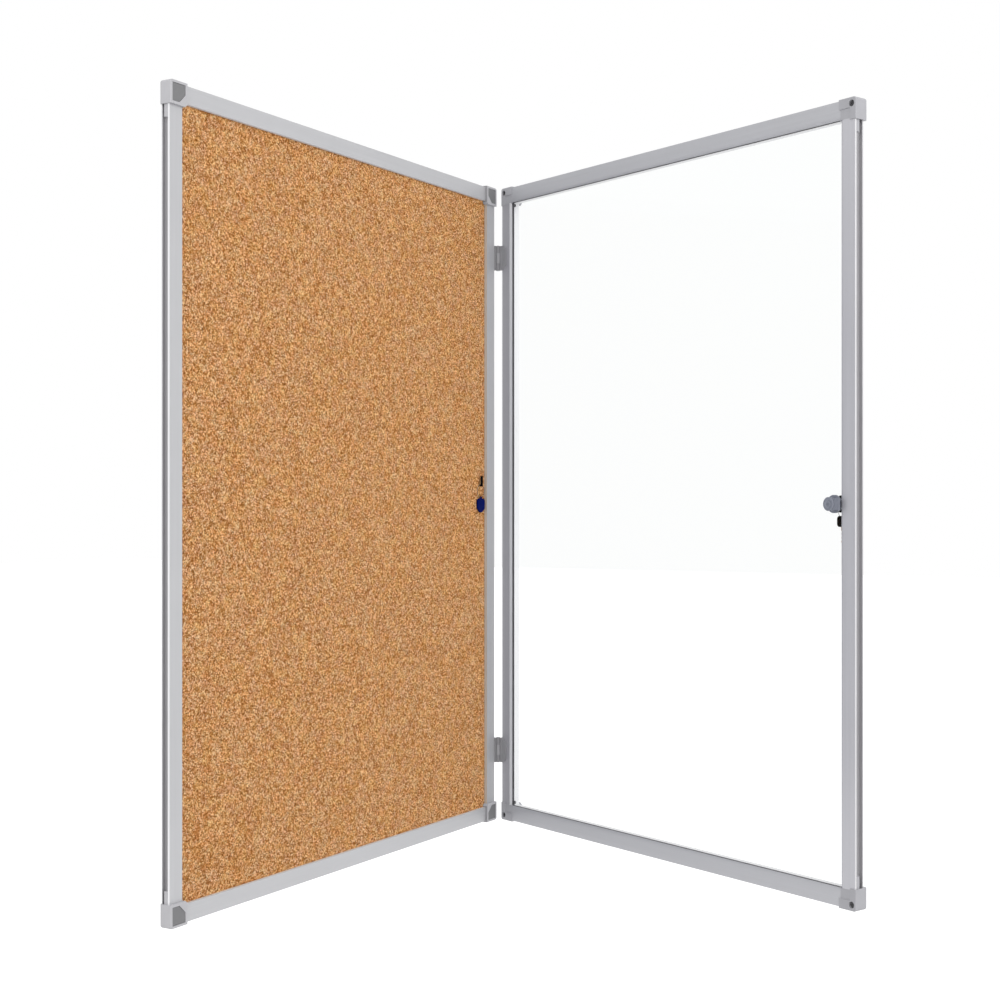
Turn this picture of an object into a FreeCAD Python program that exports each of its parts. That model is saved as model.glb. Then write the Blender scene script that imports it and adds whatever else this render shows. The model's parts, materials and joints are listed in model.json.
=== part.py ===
import FreeCAD, Part
import math
import os

from FreeCAD import Vector

# Lockable notice board, in millimetres. X runs to the right across the board, +Y runs into the
# wall and Z runs up. The origin is the centre of the back frame on the wall.
# The door is drawn closed over the back frame and is turned open about its hinge axis at the end.

# Frame
BAR_FRAME_WIDTH = 717.0
BAR_FRAME_HEIGHT = 978.0
DOOR_OPEN_ANGLE = 67.4
FRAME_GAP = 5.0

# Back frame bar
BACK_FACE = 21.5
BACK_DEPTH = 13.5
BACK_LIP = 1.6
LIP_EDGE = 1.5
LIP_EDGE_GAP = 0.3
CORK_RECESS = 5.0
CORK_THICKNESS = 3.0
BOARD_THICKNESS = 3.0
PANEL_CLEARANCE = 0.3
CORK_RIB_REACH = 3.5
CORK_RIB = 1.5

# Door bar
DOOR_FACE = 23.0
DOOR_DEPTH = 16.0
DOOR_WALL = 2.0
PANE_RECESS = 3.8
PANE_THICKNESS = 3.0
PANE_LAP = 6.5
LIP_SLOPE_WIDTH = 4.2
LIP_SLOPE_DROP = 1.4
GASKET_THICKNESS = 1.6
GASKET_PROUD = 0.4

# Outer groove of both bars
GROOVE_DEPTH = 5.0
GROOVE_WALL = 2.6
GROOVE_WEB = 2.0
BAR_FLAT = 0.4

# Corner pieces
CORNER_PROUD = 1.6
BAR_END_GAP = 0.3
BACK_CORNER_LAP = 4.8
BACK_CORNER_FRONT_PROUD = 3.6
BACK_CORNER_OVERHANG = 4.5
DOOR_CORNER_LAP = 2.3
DOOR_CORNER_INNER_PROUD = 1.0
DOOR_CORNER_OUTER_PROUD = 4.0
DOOR_CORNER_LEDGE = 10.7
DOOR_CORNER_BAND = 8.1
CORNER_CHAMFER = 4.0
CORNER_ROUND = 3.5
CORNER_OUTSIDE_ROUND = 2.4
CORNER_PARTING_ROUND = 0.8
TONGUE_LENGTH = 15.0
TONGUE_HEIGHT = 5.2
TONGUE_FLOOR_GAP = 0.7
TONGUE_CLEARANCE = 0.3

# Wall fixings and their covers
WALL_HOLE_RADIUS = 2.5
WALL_HEAD_RADIUS = 5.0
WALL_HEAD_DEPTH = 3.0
COVER_CUT = 9.8
COVER_MARGIN = 1.8
COVER_RIM = 3.5
COVER_THICKNESS = 2.0
COVER_SUNK = 0.4
COVER_CLEARANCE = 0.3
COVER_SPIGOT = 1.6

# Door corner screws
CORNER_SCREW_EDGE = 5.1
CORNER_SCREW_TOP = 6.0
CORNER_SCREW_HEAD_RADIUS = 4.1
CORNER_SCREW_SUNK = 3.0
CORNER_SCREW_SHANK_RADIUS = 1.6
CORNER_SCREW_LENGTH = 11.0
SCREW_HEAD_HEIGHT = 1.6
SCREW_CROSS_WIDTH = 0.8
SCREW_CROSS_DEPTH = 0.9
SCREW_CROSS_SHARE = 0.7

# Hinges
HINGE_OFFSET = 7.5
HINGE_FROM_END = 106.0
HINGE_HEIGHT = 37.5
KNUCKLE_RADIUS = 4.0
KNUCKLE_MIDDLE = 15.4
KNUCKLE_GAP = 0.3
HINGE_PIN_RADIUS = 1.5
PIN_CLEARANCE = 0.05
PIN_HEAD_RADIUS = 2.4
PIN_HEAD_HEIGHT = 1.0
ARM_END_GAP = 0.5
ARM_THICKNESS = 4.5
ARM_CLEARANCE = 0.2
HINGE_FOOT_GAP = 0.3
DOOR_LEAF_REACH = 11.0
DOOR_LEAF_THICKNESS = 1.3
DOOR_LEAF_CUT = 7.0
HINGE_SCREW_LEVEL = 12.5
HINGE_SCREW_HEAD_RADIUS = 2.6
HINGE_SCREW_SHANK_RADIUS = 1.5
HINGE_SCREW_END_GAP = 0.2

# Lock
LOCK_STILE_GAP = 0.8
LOCK_BARREL_RADIUS = 8.0
LOCK_HEAD_RIM = 0.8
LOCK_HEAD_HEIGHT = 2.5
LOCK_NUT_WALL = 3.2
LOCK_NUT_HEIGHT = 3.0
PLUG_RADIUS = 5.0
PLUG_SUNK = 0.4
PANE_HOLE_CLEARANCE = 0.3
CAM_BITE = 3.5
CAM_LIP_GAP = 0.4
STRIKE_LENGTH = 27.0
CAM_WIDTH = 14.6
CAM_THICKNESS = 1.5
CAM_GAP = 0.3
CAM_SQUARE = 7.0
CAM_CAP_THICKNESS = 0.8
CAM_CAP_RADIUS = 8.5

# Keys
KEY_THICKNESS = 2.0
KEY_BLADE_WIDTH = 6.8
KEY_BLADE_INSERTED = 13.0
KEY_BLADE_LENGTH = 22.0
KEY_CLEARANCE = 0.15
KEY_BOW_WIDTH = 21.0
KEY_BOW_LENGTH = 13.5
KEY_BOW_THICKNESS = 2.4
KEY_BOW_ROUND = 4.0
KEY_BOW_STANDOFF = 1.0
KEY_HOLE_RADIUS = 2.4
KEY_HOLE_MARGIN = 2.2
KEY_RING_WIRE = 0.6
KEY_RING_RADIUS = 8.2
KEY_RING_PLAY = 0.6

# Rubber buffers on the pane
BUFFER_RADIUS = 2.6
BUFFER_HEIGHT = 1.6
BUFFER_FROM_BAR = 5.2

# Spare key tag on its hook
HOOK_FROM_STILE = 13.3
HOOK_BOTTOM = 27.0
HOOK_PLATE_HEIGHT = 16.0
HOOK_PLATE_WIDTH = 4.8
HOOK_PLATE_THICKNESS = 1.6
HOOK_STANDOFF = 3.0
HOOK_PIN_RADIUS = 0.8
HOOK_PIN_LEVEL = 28.6
SPARE_RING_RADIUS = 9.9
SPARE_RING_WIRE = 0.5
SPARE_RING_PLAY = 0.2
SPARE_RING_FROM_PLATE = 1.0
TAG_WIDTH = 19.5
TAG_HEIGHT = 21.3
TAG_TOP_FLAT = 12.0
TAG_SHOULDER = 2.8
TAG_BOTTOM_FLAT = 5.0
TAG_TAPER = 6.0
TAG_THICKNESS = 2.4
TAG_EYE_WIDTH = 2.4
TAG_EYE_HEIGHT = 3.2
TAG_EYE_HOLE = 1.0

# Places worked out from the sizes above
HALF_WIDTH = BAR_FRAME_WIDTH / 2
HALF_HEIGHT = BAR_FRAME_HEIGHT / 2
BACK_FRONT_Y = -BACK_DEPTH
CORK_FRONT_Y = BACK_FRONT_Y + CORK_RECESS
DOOR_INNER_Y = BACK_FRONT_Y - FRAME_GAP
BAR_ROUND = GROOVE_WALL - BAR_FLAT
SLOT_FLOOR = GROOVE_DEPTH + GROOVE_WEB
PANEL_INSET = SLOT_FLOOR + PANEL_CLEARANCE
PANE_INSET = DOOR_FACE - PANE_LAP
BACK_CORNER_REACH = BACK_FACE + BACK_CORNER_LAP
DOOR_CORNER_REACH = DOOR_FACE + DOOR_CORNER_LAP
COVER_SIDE = BACK_CORNER_REACH - COVER_MARGIN - COVER_RIM
HINGE_X = HALF_WIDTH + HINGE_OFFSET
HINGE_Y = BACK_FRONT_Y - FRAME_GAP / 2
HINGE_LEVEL = HALF_HEIGHT - HINGE_FROM_END
HINGE_FOOT = GROOVE_DEPTH - HINGE_FOOT_GAP
HINGE_SCREW_LENGTH = ARM_THICKNESS - TONGUE_CLEARANCE + SLOT_FLOOR - HINGE_SCREW_END_GAP
PANE_INNER_V = PANE_RECESS
PANE_OUTER_V = PANE_RECESS + PANE_THICKNESS
LIP_UNDER_V = PANE_INNER_V - GASKET_THICKNESS
LOCK_FROM_STILE = LOCK_BARREL_RADIUS + LOCK_NUT_WALL + LOCK_STILE_GAP
LOCK_X = -HALF_WIDTH + DOOR_FACE + LOCK_FROM_STILE
LOCK_HEAD_V = PANE_OUTER_V + LOCK_HEAD_HEIGHT
CAM_BACK_V = -FRAME_GAP - BACK_LIP - CAM_LIP_GAP
CAM_FRONT_V = CAM_BACK_V - CAM_THICKNESS
CAM_LENGTH = DOOR_FACE + LOCK_FROM_STILE - BACK_FACE + CAM_BITE
BARREL_END_V = CAM_BACK_V + CAM_GAP
PLUG_FACE_V = LOCK_HEAD_V - PLUG_SUNK
HOOK_X = HALF_WIDTH - BACK_FACE - HOOK_FROM_STILE
CUT_EXTRA = 1.0


def box(low, high):
    """A block from its lowest corner to its highest corner."""
    size = [high[i] - low[i] for i in range(3)]
    return Part.makeBox(size[0], size[1], size[2], Vector(*low))


def rod(radius, start, direction, length):
    """A round rod from a start point along a direction."""
    return Part.makeCylinder(radius, length, Vector(*start), Vector(*direction))


def outline_prism(points, direction):
    """A solid made by pushing a closed outline along a direction."""
    corners = [Vector(*p) for p in points]
    wire = Part.makePolygon(corners + [corners[0]])
    return Part.Face(wire).extrude(Vector(*direction))


def door_y(v):
    """The Y of a depth v, measured outward from the inner face of the closed door."""
    return DOOR_INNER_Y - v


def back_y(v):
    """The Y of a depth v, measured towards the wall from the front face of the back frame."""
    return BACK_FRONT_Y + v


def turned(shape, quarter):
    """A shape turned by quarter turns about the Y axis, from the left side over the top."""
    copy = shape.copy()
    copy.rotate(Vector(0, 0, 0), Vector(0, 1, 0), 90 * quarter)
    return copy


def opened(shape):
    """A door shape turned about the hinge axis, from closed to its open rest place."""
    copy = shape.copy()
    copy.rotate(Vector(HINGE_X, HINGE_Y, 0), Vector(0, 0, 1), DOOR_OPEN_ANGLE)
    return copy


def mirrored(shape, flip_x, flip_z):
    """A copy of a shape mirrored to another corner of the board."""
    copy = shape.copy()
    if flip_x:
        copy = copy.mirror(Vector(0, 0, 0), Vector(1, 0, 0))
    if flip_z:
        copy = copy.mirror(Vector(0, 0, 0), Vector(0, 0, 1))
    return copy


def edges_near(solid, x=None, y=None, z=None):
    """The edges of a solid whose middles lie at the places given."""
    chosen = []
    for edge in solid.Edges:
        middle = edge.BoundBox.Center
        if all(place is None or abs(at - place) < CUT_EXTRA / 2 for at, place in zip(middle, (x, y, z))):
            chosen.append(edge)
    return chosen


def bar(section, to_y, face, depth, half_across, half_along):
    """A left-hand bar from its section in (inward, depth) points, with its outside edge rounded."""
    reach = half_along - face - BAR_END_GAP
    points = [(-half_across + u, to_y(v), -reach) for u, v in section]
    solid = outline_prism(points, (0, 0, 2 * reach))
    return solid.makeFillet(BAR_ROUND, edges_near(solid, x=-half_across, y=to_y(depth)))


def back_section():
    """The outline of the back bar: an outer groove, a turned-in front lip and a panel slot."""
    rib_top = CORK_RECESS - CORK_RIB
    panel_back = CORK_RECESS + CORK_THICKNESS + BOARD_THICKNESS
    rib_end = SLOT_FLOOR + CORK_RIB_REACH
    back_flange_end = SLOT_FLOOR + 2 * CORK_RIB_REACH
    edge_end = CORK_RECESS - LIP_EDGE_GAP
    edge_inside = BACK_FACE - LIP_EDGE
    return [
        (0, 0), (BACK_FACE, 0), (BACK_FACE, edge_end), (edge_inside, edge_end), (edge_inside, BACK_LIP),
        (SLOT_FLOOR, BACK_LIP),
        (SLOT_FLOOR, rib_top), (rib_end, rib_top), (rib_end, CORK_RECESS), (SLOT_FLOOR, CORK_RECESS),
        (SLOT_FLOOR, panel_back), (back_flange_end, panel_back), (back_flange_end, BACK_DEPTH),
        (0, BACK_DEPTH), (0, BACK_DEPTH - GROOVE_WALL), (GROOVE_DEPTH, BACK_DEPTH - GROOVE_WALL),
        (GROOVE_DEPTH, GROOVE_WALL), (0, GROOVE_WALL),
    ]


def door_section():
    """The outline of the door bar: an outer groove, and a pane slot behind a sloped inner lip."""
    return [
        (0, 0), (DOOR_FACE - LIP_SLOPE_WIDTH, 0), (DOOR_FACE, LIP_SLOPE_DROP), (DOOR_FACE, LIP_UNDER_V),
        (PANE_INSET, LIP_UNDER_V), (PANE_INSET, PANE_OUTER_V), (DOOR_FACE, PANE_OUTER_V),
        (DOOR_FACE, DOOR_DEPTH),
        (0, DOOR_DEPTH), (0, DOOR_DEPTH - GROOVE_WALL), (GROOVE_DEPTH, DOOR_DEPTH - GROOVE_WALL),
        (GROOVE_DEPTH, GROOVE_WALL), (0, GROOVE_WALL),
    ]


def door_hollow(half_across, half_along):
    """The closed chamber that runs along the inside of a door bar."""
    low = (-half_across + SLOT_FLOOR, door_y(DOOR_DEPTH - DOOR_WALL), -half_along)
    high = (-half_across + PANE_INSET - DOOR_WALL, door_y(DOOR_WALL), half_along)
    return box(low, high)


def back_bar(half_across, half_along):
    """One back frame bar on the left side of the board."""
    return bar(back_section(), back_y, BACK_FACE, BACK_DEPTH, half_across, half_along)


def door_bar(half_across, half_along):
    """One door bar on the left side of the closed door."""
    solid = bar(door_section(), door_y, DOOR_FACE, DOOR_DEPTH, half_across, half_along)
    return solid.cut(door_hollow(half_across, half_along))


def strike_slot():
    """The slot in the turned-in edge of the back frame's free stile, where the cam goes in."""
    x = -HALF_WIDTH + BACK_FACE
    half = STRIKE_LENGTH / 2
    return box((x - LIP_EDGE - CUT_EXTRA, back_y(BACK_LIP), -half), (x + CUT_EXTRA, CORK_FRONT_Y, half))


def panel(inset, low_v, high_v, to_y, notch):
    """A flat sheet held in the slots of a frame, with square notches at its corners."""
    y0, y1 = sorted((to_y(low_v), to_y(high_v)))
    x = HALF_WIDTH - inset
    z = HALF_HEIGHT - inset
    sheet = box((-x, y0, -z), (x, y1, z))
    if notch > inset:
        cut = box((-x - CUT_EXTRA, y0 - CUT_EXTRA, z + inset - notch),
                  (-x + notch - inset, y1 + CUT_EXTRA, z + CUT_EXTRA))
        for flip_x in (False, True):
            for flip_z in (False, True):
                sheet = sheet.cut(mirrored(cut, flip_x, flip_z))
    return sheet


def corner_box(u0, u1, w0, w1, y0, y1):
    """A block at the top left corner, measured inward and downward from the bars' outer edges."""
    y_low, y_high = sorted((y0, y1))
    low = (-HALF_WIDTH + u0, y_low, HALF_HEIGHT - w1)
    high = (-HALF_WIDTH + u1, y_high, HALF_HEIGHT - w0)
    return box(low, high)


def corner_tongues(reach, face, to_y):
    """The two tongues that go from a corner piece into the outer grooves of its bars."""
    near = face + BAR_END_GAP - CUT_EXTRA
    far = reach + TONGUE_LENGTH
    low_u = TONGUE_CLEARANCE
    high_u = GROOVE_DEPTH - TONGUE_FLOOR_GAP
    y0 = to_y(GROOVE_WALL + TONGUE_CLEARANCE)
    y1 = to_y(GROOVE_WALL + TONGUE_CLEARANCE + TONGUE_HEIGHT)
    down = corner_box(low_u, high_u, near, far, y0, y1)
    along = corner_box(near, far, low_u, high_u, y0, y1)
    return down.fuse(along)


def corner_block(reach, face, y_parting, y_outside, to_y, depth):
    """A corner block with its outer edges rounded and a socket for the end of each bar."""
    block = corner_box(-CORNER_PROUD, reach, -CORNER_PROUD, reach, y_parting, y_outside)
    block = round_outer_edges(block, y_parting, y_outside)
    bar_end = face + BAR_END_GAP
    down_socket = corner_box(0, face, bar_end, reach + CUT_EXTRA, to_y(0), to_y(depth))
    down_edge = edges_near(down_socket, x=-HALF_WIDTH, y=to_y(depth))
    along_socket = corner_box(bar_end, reach + CUT_EXTRA, 0, face, to_y(0), to_y(depth))
    along_edge = edges_near(along_socket, y=to_y(depth), z=HALF_HEIGHT)
    for socket, edge in ((down_socket, down_edge), (along_socket, along_edge)):
        block = block.cut(socket.makeFillet(BAR_ROUND, edge))
    return block


def round_outer_edges(block, y_parting, y_outside):
    """Round a corner block: little towards the other frame, and more on the outside of the case."""
    side = -HALF_WIDTH - CORNER_PROUD
    top = HALF_HEIGHT + CORNER_PROUD
    block = block.makeFillet(CORNER_ROUND, edges_near(block, x=side, z=top))
    outside = edges_near(block, x=side, y=y_outside) + edges_near(block, y=y_outside, z=top)
    block = block.makeFillet(CORNER_OUTSIDE_ROUND, outside)
    parting = edges_near(block, x=side, y=y_parting) + edges_near(block, y=y_parting, z=top)
    return block.makeFillet(CORNER_PARTING_ROUND, parting)


def chamfer_inner_corner(solid, reach, y_front, y_rear):
    """Cut the inner corner of a corner piece at a slant."""
    y0, y1 = sorted((y_front, y_rear))
    x = -HALF_WIDTH + reach
    z = HALF_HEIGHT - reach
    wedge = outline_prism([
        (x + CUT_EXTRA, y0 - CUT_EXTRA, z - CUT_EXTRA),
        (x - CORNER_CHAMFER, y0 - CUT_EXTRA, z - CUT_EXTRA),
        (x + CUT_EXTRA, y0 - CUT_EXTRA, z + CORNER_CHAMFER),
    ], (0, y1 - y0 + 2 * CUT_EXTRA, 0))
    return solid.cut(wedge)


def cover_outline(y, grow):
    """The five corners of a screw cover, grown by a clearance on every side."""
    x0 = -HALF_WIDTH + COVER_MARGIN - grow
    x1 = -HALF_WIDTH + COVER_MARGIN + COVER_SIDE + grow
    z0 = HALF_HEIGHT - COVER_MARGIN + grow
    z1 = HALF_HEIGHT - COVER_MARGIN - COVER_SIDE - grow
    cut = COVER_CUT + grow * (2 - math.sqrt(2))
    return [(x0, y, z0), (x1, y, z0), (x1, y, z1 + cut), (x1 - cut, y, z1), (x0, y, z1)]


def wall_hole_axis():
    """The X and Z of the top left wall screw, at the middle of the cover's square."""
    offset = COVER_MARGIN + COVER_SIDE / 2
    return -HALF_WIDTH + offset, HALF_HEIGHT - offset


def back_corner():
    """The top left corner piece of the back frame."""
    y_front = back_y(-BACK_CORNER_FRONT_PROUD)
    y_rear = back_y(BACK_DEPTH)
    solid = corner_block(BACK_CORNER_REACH, BACK_FACE, y_front, y_rear, back_y, BACK_DEPTH)
    under = corner_box(BACK_FACE, BACK_CORNER_REACH + CUT_EXTRA, BACK_FACE,
                       BACK_CORNER_REACH + CUT_EXTRA, back_y(BACK_CORNER_OVERHANG), y_rear + CUT_EXTRA)
    solid = solid.cut(under)
    solid = chamfer_inner_corner(solid, BACK_CORNER_REACH, y_front, y_rear)
    recess_floor = y_front + COVER_SUNK + COVER_THICKNESS
    recess = outline_prism(cover_outline(y_front - CUT_EXTRA, COVER_CLEARANCE),
                           (0, COVER_SUNK + COVER_THICKNESS + CUT_EXTRA, 0))
    hole_x, hole_z = wall_hole_axis()
    head_seat = rod(WALL_HEAD_RADIUS, (hole_x, recess_floor, hole_z), (0, 1, 0), WALL_HEAD_DEPTH)
    hole = rod(WALL_HOLE_RADIUS, (hole_x, recess_floor, hole_z), (0, 1, 0), BACK_DEPTH * 2)
    solid = solid.cut(recess).cut(head_seat).cut(hole)
    return solid.fuse(corner_tongues(BACK_CORNER_REACH, BACK_FACE, back_y)).removeSplitter()


def screw_cover():
    """The pop-in cover over the top left wall screw."""
    y_front = back_y(-BACK_CORNER_FRONT_PROUD) + COVER_SUNK
    plate = outline_prism(cover_outline(y_front, 0), (0, COVER_THICKNESS, 0))
    hole_x, hole_z = wall_hole_axis()
    spigot = rod(WALL_HEAD_RADIUS - COVER_CLEARANCE, (hole_x, y_front + COVER_THICKNESS / 2, hole_z),
                 (0, 1, 0), COVER_THICKNESS / 2 + COVER_SPIGOT)
    bore = rod(WALL_HOLE_RADIUS, (hole_x, y_front + COVER_THICKNESS, hole_z), (0, 1, 0),
               COVER_SPIGOT + CUT_EXTRA)
    return plate.fuse(spigot).cut(bore)


def door_corner():
    """The top left corner piece of the closed door."""
    y_inner = door_y(-DOOR_CORNER_INNER_PROUD)
    y_outer = door_y(DOOR_DEPTH + DOOR_CORNER_OUTER_PROUD)
    solid = corner_block(DOOR_CORNER_REACH, DOOR_FACE, y_inner, y_outer, door_y, DOOR_DEPTH)
    reach = DOOR_CORNER_REACH + CUT_EXTRA
    pane_slot = corner_box(PANE_INSET, reach, PANE_INSET, reach, door_y(LIP_UNDER_V), door_y(PANE_OUTER_V))
    solid = solid.cut(pane_slot)
    solid = chamfer_inner_corner(solid, DOOR_CORNER_REACH, y_outer, y_inner)
    low_square = corner_box(DOOR_CORNER_BAND, reach, DOOR_CORNER_LEDGE, reach,
                            door_y(0), y_inner + CUT_EXTRA)
    solid = solid.cut(low_square)
    screw_x = -HALF_WIDTH + CORNER_SCREW_EDGE
    screw_z = HALF_HEIGHT - CORNER_SCREW_TOP
    head_seat = rod(CORNER_SCREW_HEAD_RADIUS, (screw_x, door_y(CORNER_SCREW_SUNK), screw_z),
                    (0, 1, 0), CORNER_SCREW_SUNK + 2 * DOOR_CORNER_INNER_PROUD)
    shank_end = door_y(CORNER_SCREW_SUNK + CORNER_SCREW_LENGTH)
    shank = rod(CORNER_SCREW_SHANK_RADIUS, (screw_x, shank_end, screw_z), (0, 1, 0),
                CORNER_SCREW_LENGTH + CUT_EXTRA)
    solid = solid.cut(head_seat).cut(shank)
    return solid.fuse(corner_tongues(DOOR_CORNER_REACH, DOOR_FACE, door_y)).removeSplitter()


def screw(start, direction, head_radius, shank_radius, length):
    """A cross-slot screw: its head starts at a point and its shank runs along a direction."""
    along = Vector(*direction)
    head = rod(head_radius, start, direction, SCREW_HEAD_HEIGHT)
    shank_start = Vector(*start) + along * (SCREW_HEAD_HEIGHT / 2)
    shank = Part.makeCylinder(shank_radius, length - SCREW_HEAD_HEIGHT / 2, shank_start, along)
    solid = head.fuse(shank)
    side = Vector(0, 0, 1)
    across = along.cross(side)
    arm = head_radius * SCREW_CROSS_SHARE
    for first, second in ((side, across), (across, side)):
        corner = Vector(*start) - first * arm - second * (SCREW_CROSS_WIDTH / 2)
        points = [corner, corner + first * (2 * arm),
                  corner + first * (2 * arm) + second * SCREW_CROSS_WIDTH,
                  corner + second * SCREW_CROSS_WIDTH]
        solid = solid.cut(outline_prism(points, along * SCREW_CROSS_DEPTH))
    return solid


def door_corner_screw():
    """The screw in the top left corner piece of the closed door."""
    start = (-HALF_WIDTH + CORNER_SCREW_EDGE, door_y(CORNER_SCREW_SUNK - SCREW_HEAD_HEIGHT),
             HALF_HEIGHT - CORNER_SCREW_TOP)
    return screw(start, (0, -1, 0), CORNER_SCREW_HEAD_RADIUS - TONGUE_CLEARANCE,
                 CORNER_SCREW_SHANK_RADIUS, CORNER_SCREW_LENGTH)


def corner_set(shape):
    """Four copies of a top left corner shape, one for each corner of the board."""
    places = {}
    for name, flip_x, flip_z in (("top_left", False, False), ("top_right", True, False),
                                 ("bottom_left", False, True), ("bottom_right", True, True)):
        places[name] = mirrored(shape, flip_x, flip_z)
    return places


def knuckle(z0, z1):
    """A hinge knuckle between two heights."""
    return rod(KNUCKLE_RADIUS, (HINGE_X, HINGE_Y, z0), (0, 0, 1), z1 - z0)


def arm_depth(side):
    """How far a hinge arm reaches from the hinge axis across the edge of its frame."""
    frame_depth = BACK_DEPTH if side > 0 else DOOR_DEPTH
    return FRAME_GAP / 2 + frame_depth - GROOVE_WALL - ARM_END_GAP


def hinge_arm(side):
    """The arm of a hinge half from the frame's groove to the knuckles; side is +1 for the back."""
    x = HINGE_X
    y = HINGE_Y
    edge = HINGE_OFFSET
    half = HINGE_HEIGHT / 2
    depth = side * arm_depth(side)
    tangent = math.radians(120)
    outline = [
        (x - edge, y + side * ARM_CLEARANCE),
        (x - edge, y + depth),
        (x - edge + ARM_THICKNESS, y + depth),
        (x + KNUCKLE_RADIUS * math.cos(tangent), y + side * KNUCKLE_RADIUS * math.sin(tangent)),
        (x, y + side * ARM_CLEARANCE),
    ]
    points = [(px, py, -half) for px, py in outline]
    arm = outline_prism(points, (0, 0, HINGE_HEIGHT))
    face = BACK_FRONT_Y if side > 0 else DOOR_INNER_Y
    low = face + side * (GROOVE_WALL + TONGUE_CLEARANCE)
    high = y + depth
    foot = box((x - edge - HINGE_FOOT, min(low, high), -half), (x - edge, max(low, high), half))
    return arm.fuse(foot)


def hinge_half(side):
    """One hinge half about height zero: the back half has two knuckles, the door half one."""
    half = HINGE_HEIGHT / 2
    inner = KNUCKLE_MIDDLE / 2
    outer = inner + KNUCKLE_GAP
    clear = KNUCKLE_RADIUS + KNUCKLE_GAP
    solid = hinge_arm(side)
    if side > 0:
        gap = rod(clear, (HINGE_X, HINGE_Y, -outer), (0, 0, 1), 2 * outer)
        solid = solid.cut(gap).fuse(knuckle(-half, -outer)).fuse(knuckle(outer, half))
        bore_radius = HINGE_PIN_RADIUS
    else:
        for z0 in (-half - CUT_EXTRA, inner):
            length = half + CUT_EXTRA - inner
            solid = solid.cut(rod(clear, (HINGE_X, HINGE_Y, z0), (0, 0, 1), length))
        solid = solid.fuse(knuckle(-inner, inner)).fuse(door_leaf())
        bore_radius = HINGE_PIN_RADIUS + PIN_CLEARANCE
    bore = rod(bore_radius, (HINGE_X, HINGE_Y, -HINGE_HEIGHT), (0, 0, 1), 2 * HINGE_HEIGHT)
    solid = solid.cut(bore)
    for z in (-HINGE_SCREW_LEVEL, HINGE_SCREW_LEVEL):
        start = hinge_screw_start(side, z)
        seat = rod(HINGE_SCREW_HEAD_RADIUS, start, (1, 0, 0), HINGE_HEIGHT)
        seat = seat.fuse(rod(HINGE_SCREW_HEAD_RADIUS, start, (-1, 0, 0), SCREW_HEAD_HEIGHT))
        hole = rod(HINGE_SCREW_SHANK_RADIUS, start, (-1, 0, 0), HINGE_SCREW_LENGTH)
        solid = solid.cut(seat).cut(hole)
    return solid.removeSplitter()


def door_leaf():
    """The thin leaf that lies on the inner face of the door's hinge stile."""
    half = HINGE_HEIGHT / 2
    x0 = HALF_WIDTH - DOOR_LEAF_REACH
    x1 = HINGE_X - KNUCKLE_RADIUS - KNUCKLE_GAP
    cut = DOOR_LEAF_CUT
    points = [(x1, -half), (x1, half), (x0 + cut, half), (x0, half - cut), (x0, cut - half),
              (x0 + cut, -half)]
    return outline_prism([(x, DOOR_INNER_Y, z) for x, z in points], (0, DOOR_LEAF_THICKNESS, 0))


def hinge_screw_start(side, z):
    """The outer end of a hinge screw's head, on the arm's flat outer side."""
    near = FRAME_GAP / 2 + GROOVE_WALL + TONGUE_CLEARANCE
    foot_middle = HINGE_Y + side * (near + arm_depth(side)) / 2
    return (HINGE_X - HINGE_OFFSET + ARM_THICKNESS - TONGUE_CLEARANCE, foot_middle, z)


def hinge_screws(side):
    """The two screws that hold one hinge half in its groove, about height zero."""
    return [screw(hinge_screw_start(side, z), (-1, 0, 0), HINGE_SCREW_HEAD_RADIUS - KNUCKLE_GAP,
                  HINGE_SCREW_SHANK_RADIUS, HINGE_SCREW_LENGTH)
            for z in (-HINGE_SCREW_LEVEL, HINGE_SCREW_LEVEL)]


def hinge_pin():
    """The hinge pin about height zero, with a flat head at each end."""
    half = HINGE_HEIGHT / 2
    pin = rod(HINGE_PIN_RADIUS, (HINGE_X, HINGE_Y, -half), (0, 0, 1), HINGE_HEIGHT)
    for z in (half, -half - PIN_HEAD_HEIGHT):
        pin = pin.fuse(rod(PIN_HEAD_RADIUS, (HINGE_X, HINGE_Y, z), (0, 0, 1), PIN_HEAD_HEIGHT))
    return pin


def lifted(shape, z):
    """A copy of a shape moved up by z."""
    copy = shape.copy()
    copy.translate(Vector(0, 0, z))
    return copy


def screw_holes(side):
    """The holes of all hinge screws on one frame, for cutting its hinge stile."""
    holes = []
    for level in (-HINGE_LEVEL, HINGE_LEVEL):
        for z in (-HINGE_SCREW_LEVEL, HINGE_SCREW_LEVEL):
            start = hinge_screw_start(side, level + z)
            holes.append(rod(HINGE_SCREW_SHANK_RADIUS, start, (-1, 0, 0), HINGE_SCREW_LENGTH))
    return holes


def lock_rod(radius, v0, v1):
    """A round piece on the lock's axis between two depths of the closed door."""
    return rod(radius, (LOCK_X, door_y(v1), 0), (0, 1, 0), v1 - v0)


def lock_barrel():
    """The lock's housing: a round head outside the pane and a barrel through it."""
    solid = lock_rod(LOCK_BARREL_RADIUS + LOCK_HEAD_RIM, PANE_OUTER_V, LOCK_HEAD_V)
    rim = edges_near(solid, y=door_y(LOCK_HEAD_V))
    solid = solid.makeChamfer(LOCK_HEAD_HEIGHT / 3, rim[:1])
    solid = solid.fuse(lock_rod(LOCK_BARREL_RADIUS, BARREL_END_V, LOCK_HEAD_V - LOCK_HEAD_HEIGHT / 2))
    bore = lock_rod(PLUG_RADIUS + PIN_CLEARANCE, BARREL_END_V - CUT_EXTRA, LOCK_HEAD_V + CUT_EXTRA)
    return solid.cut(bore)


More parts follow.
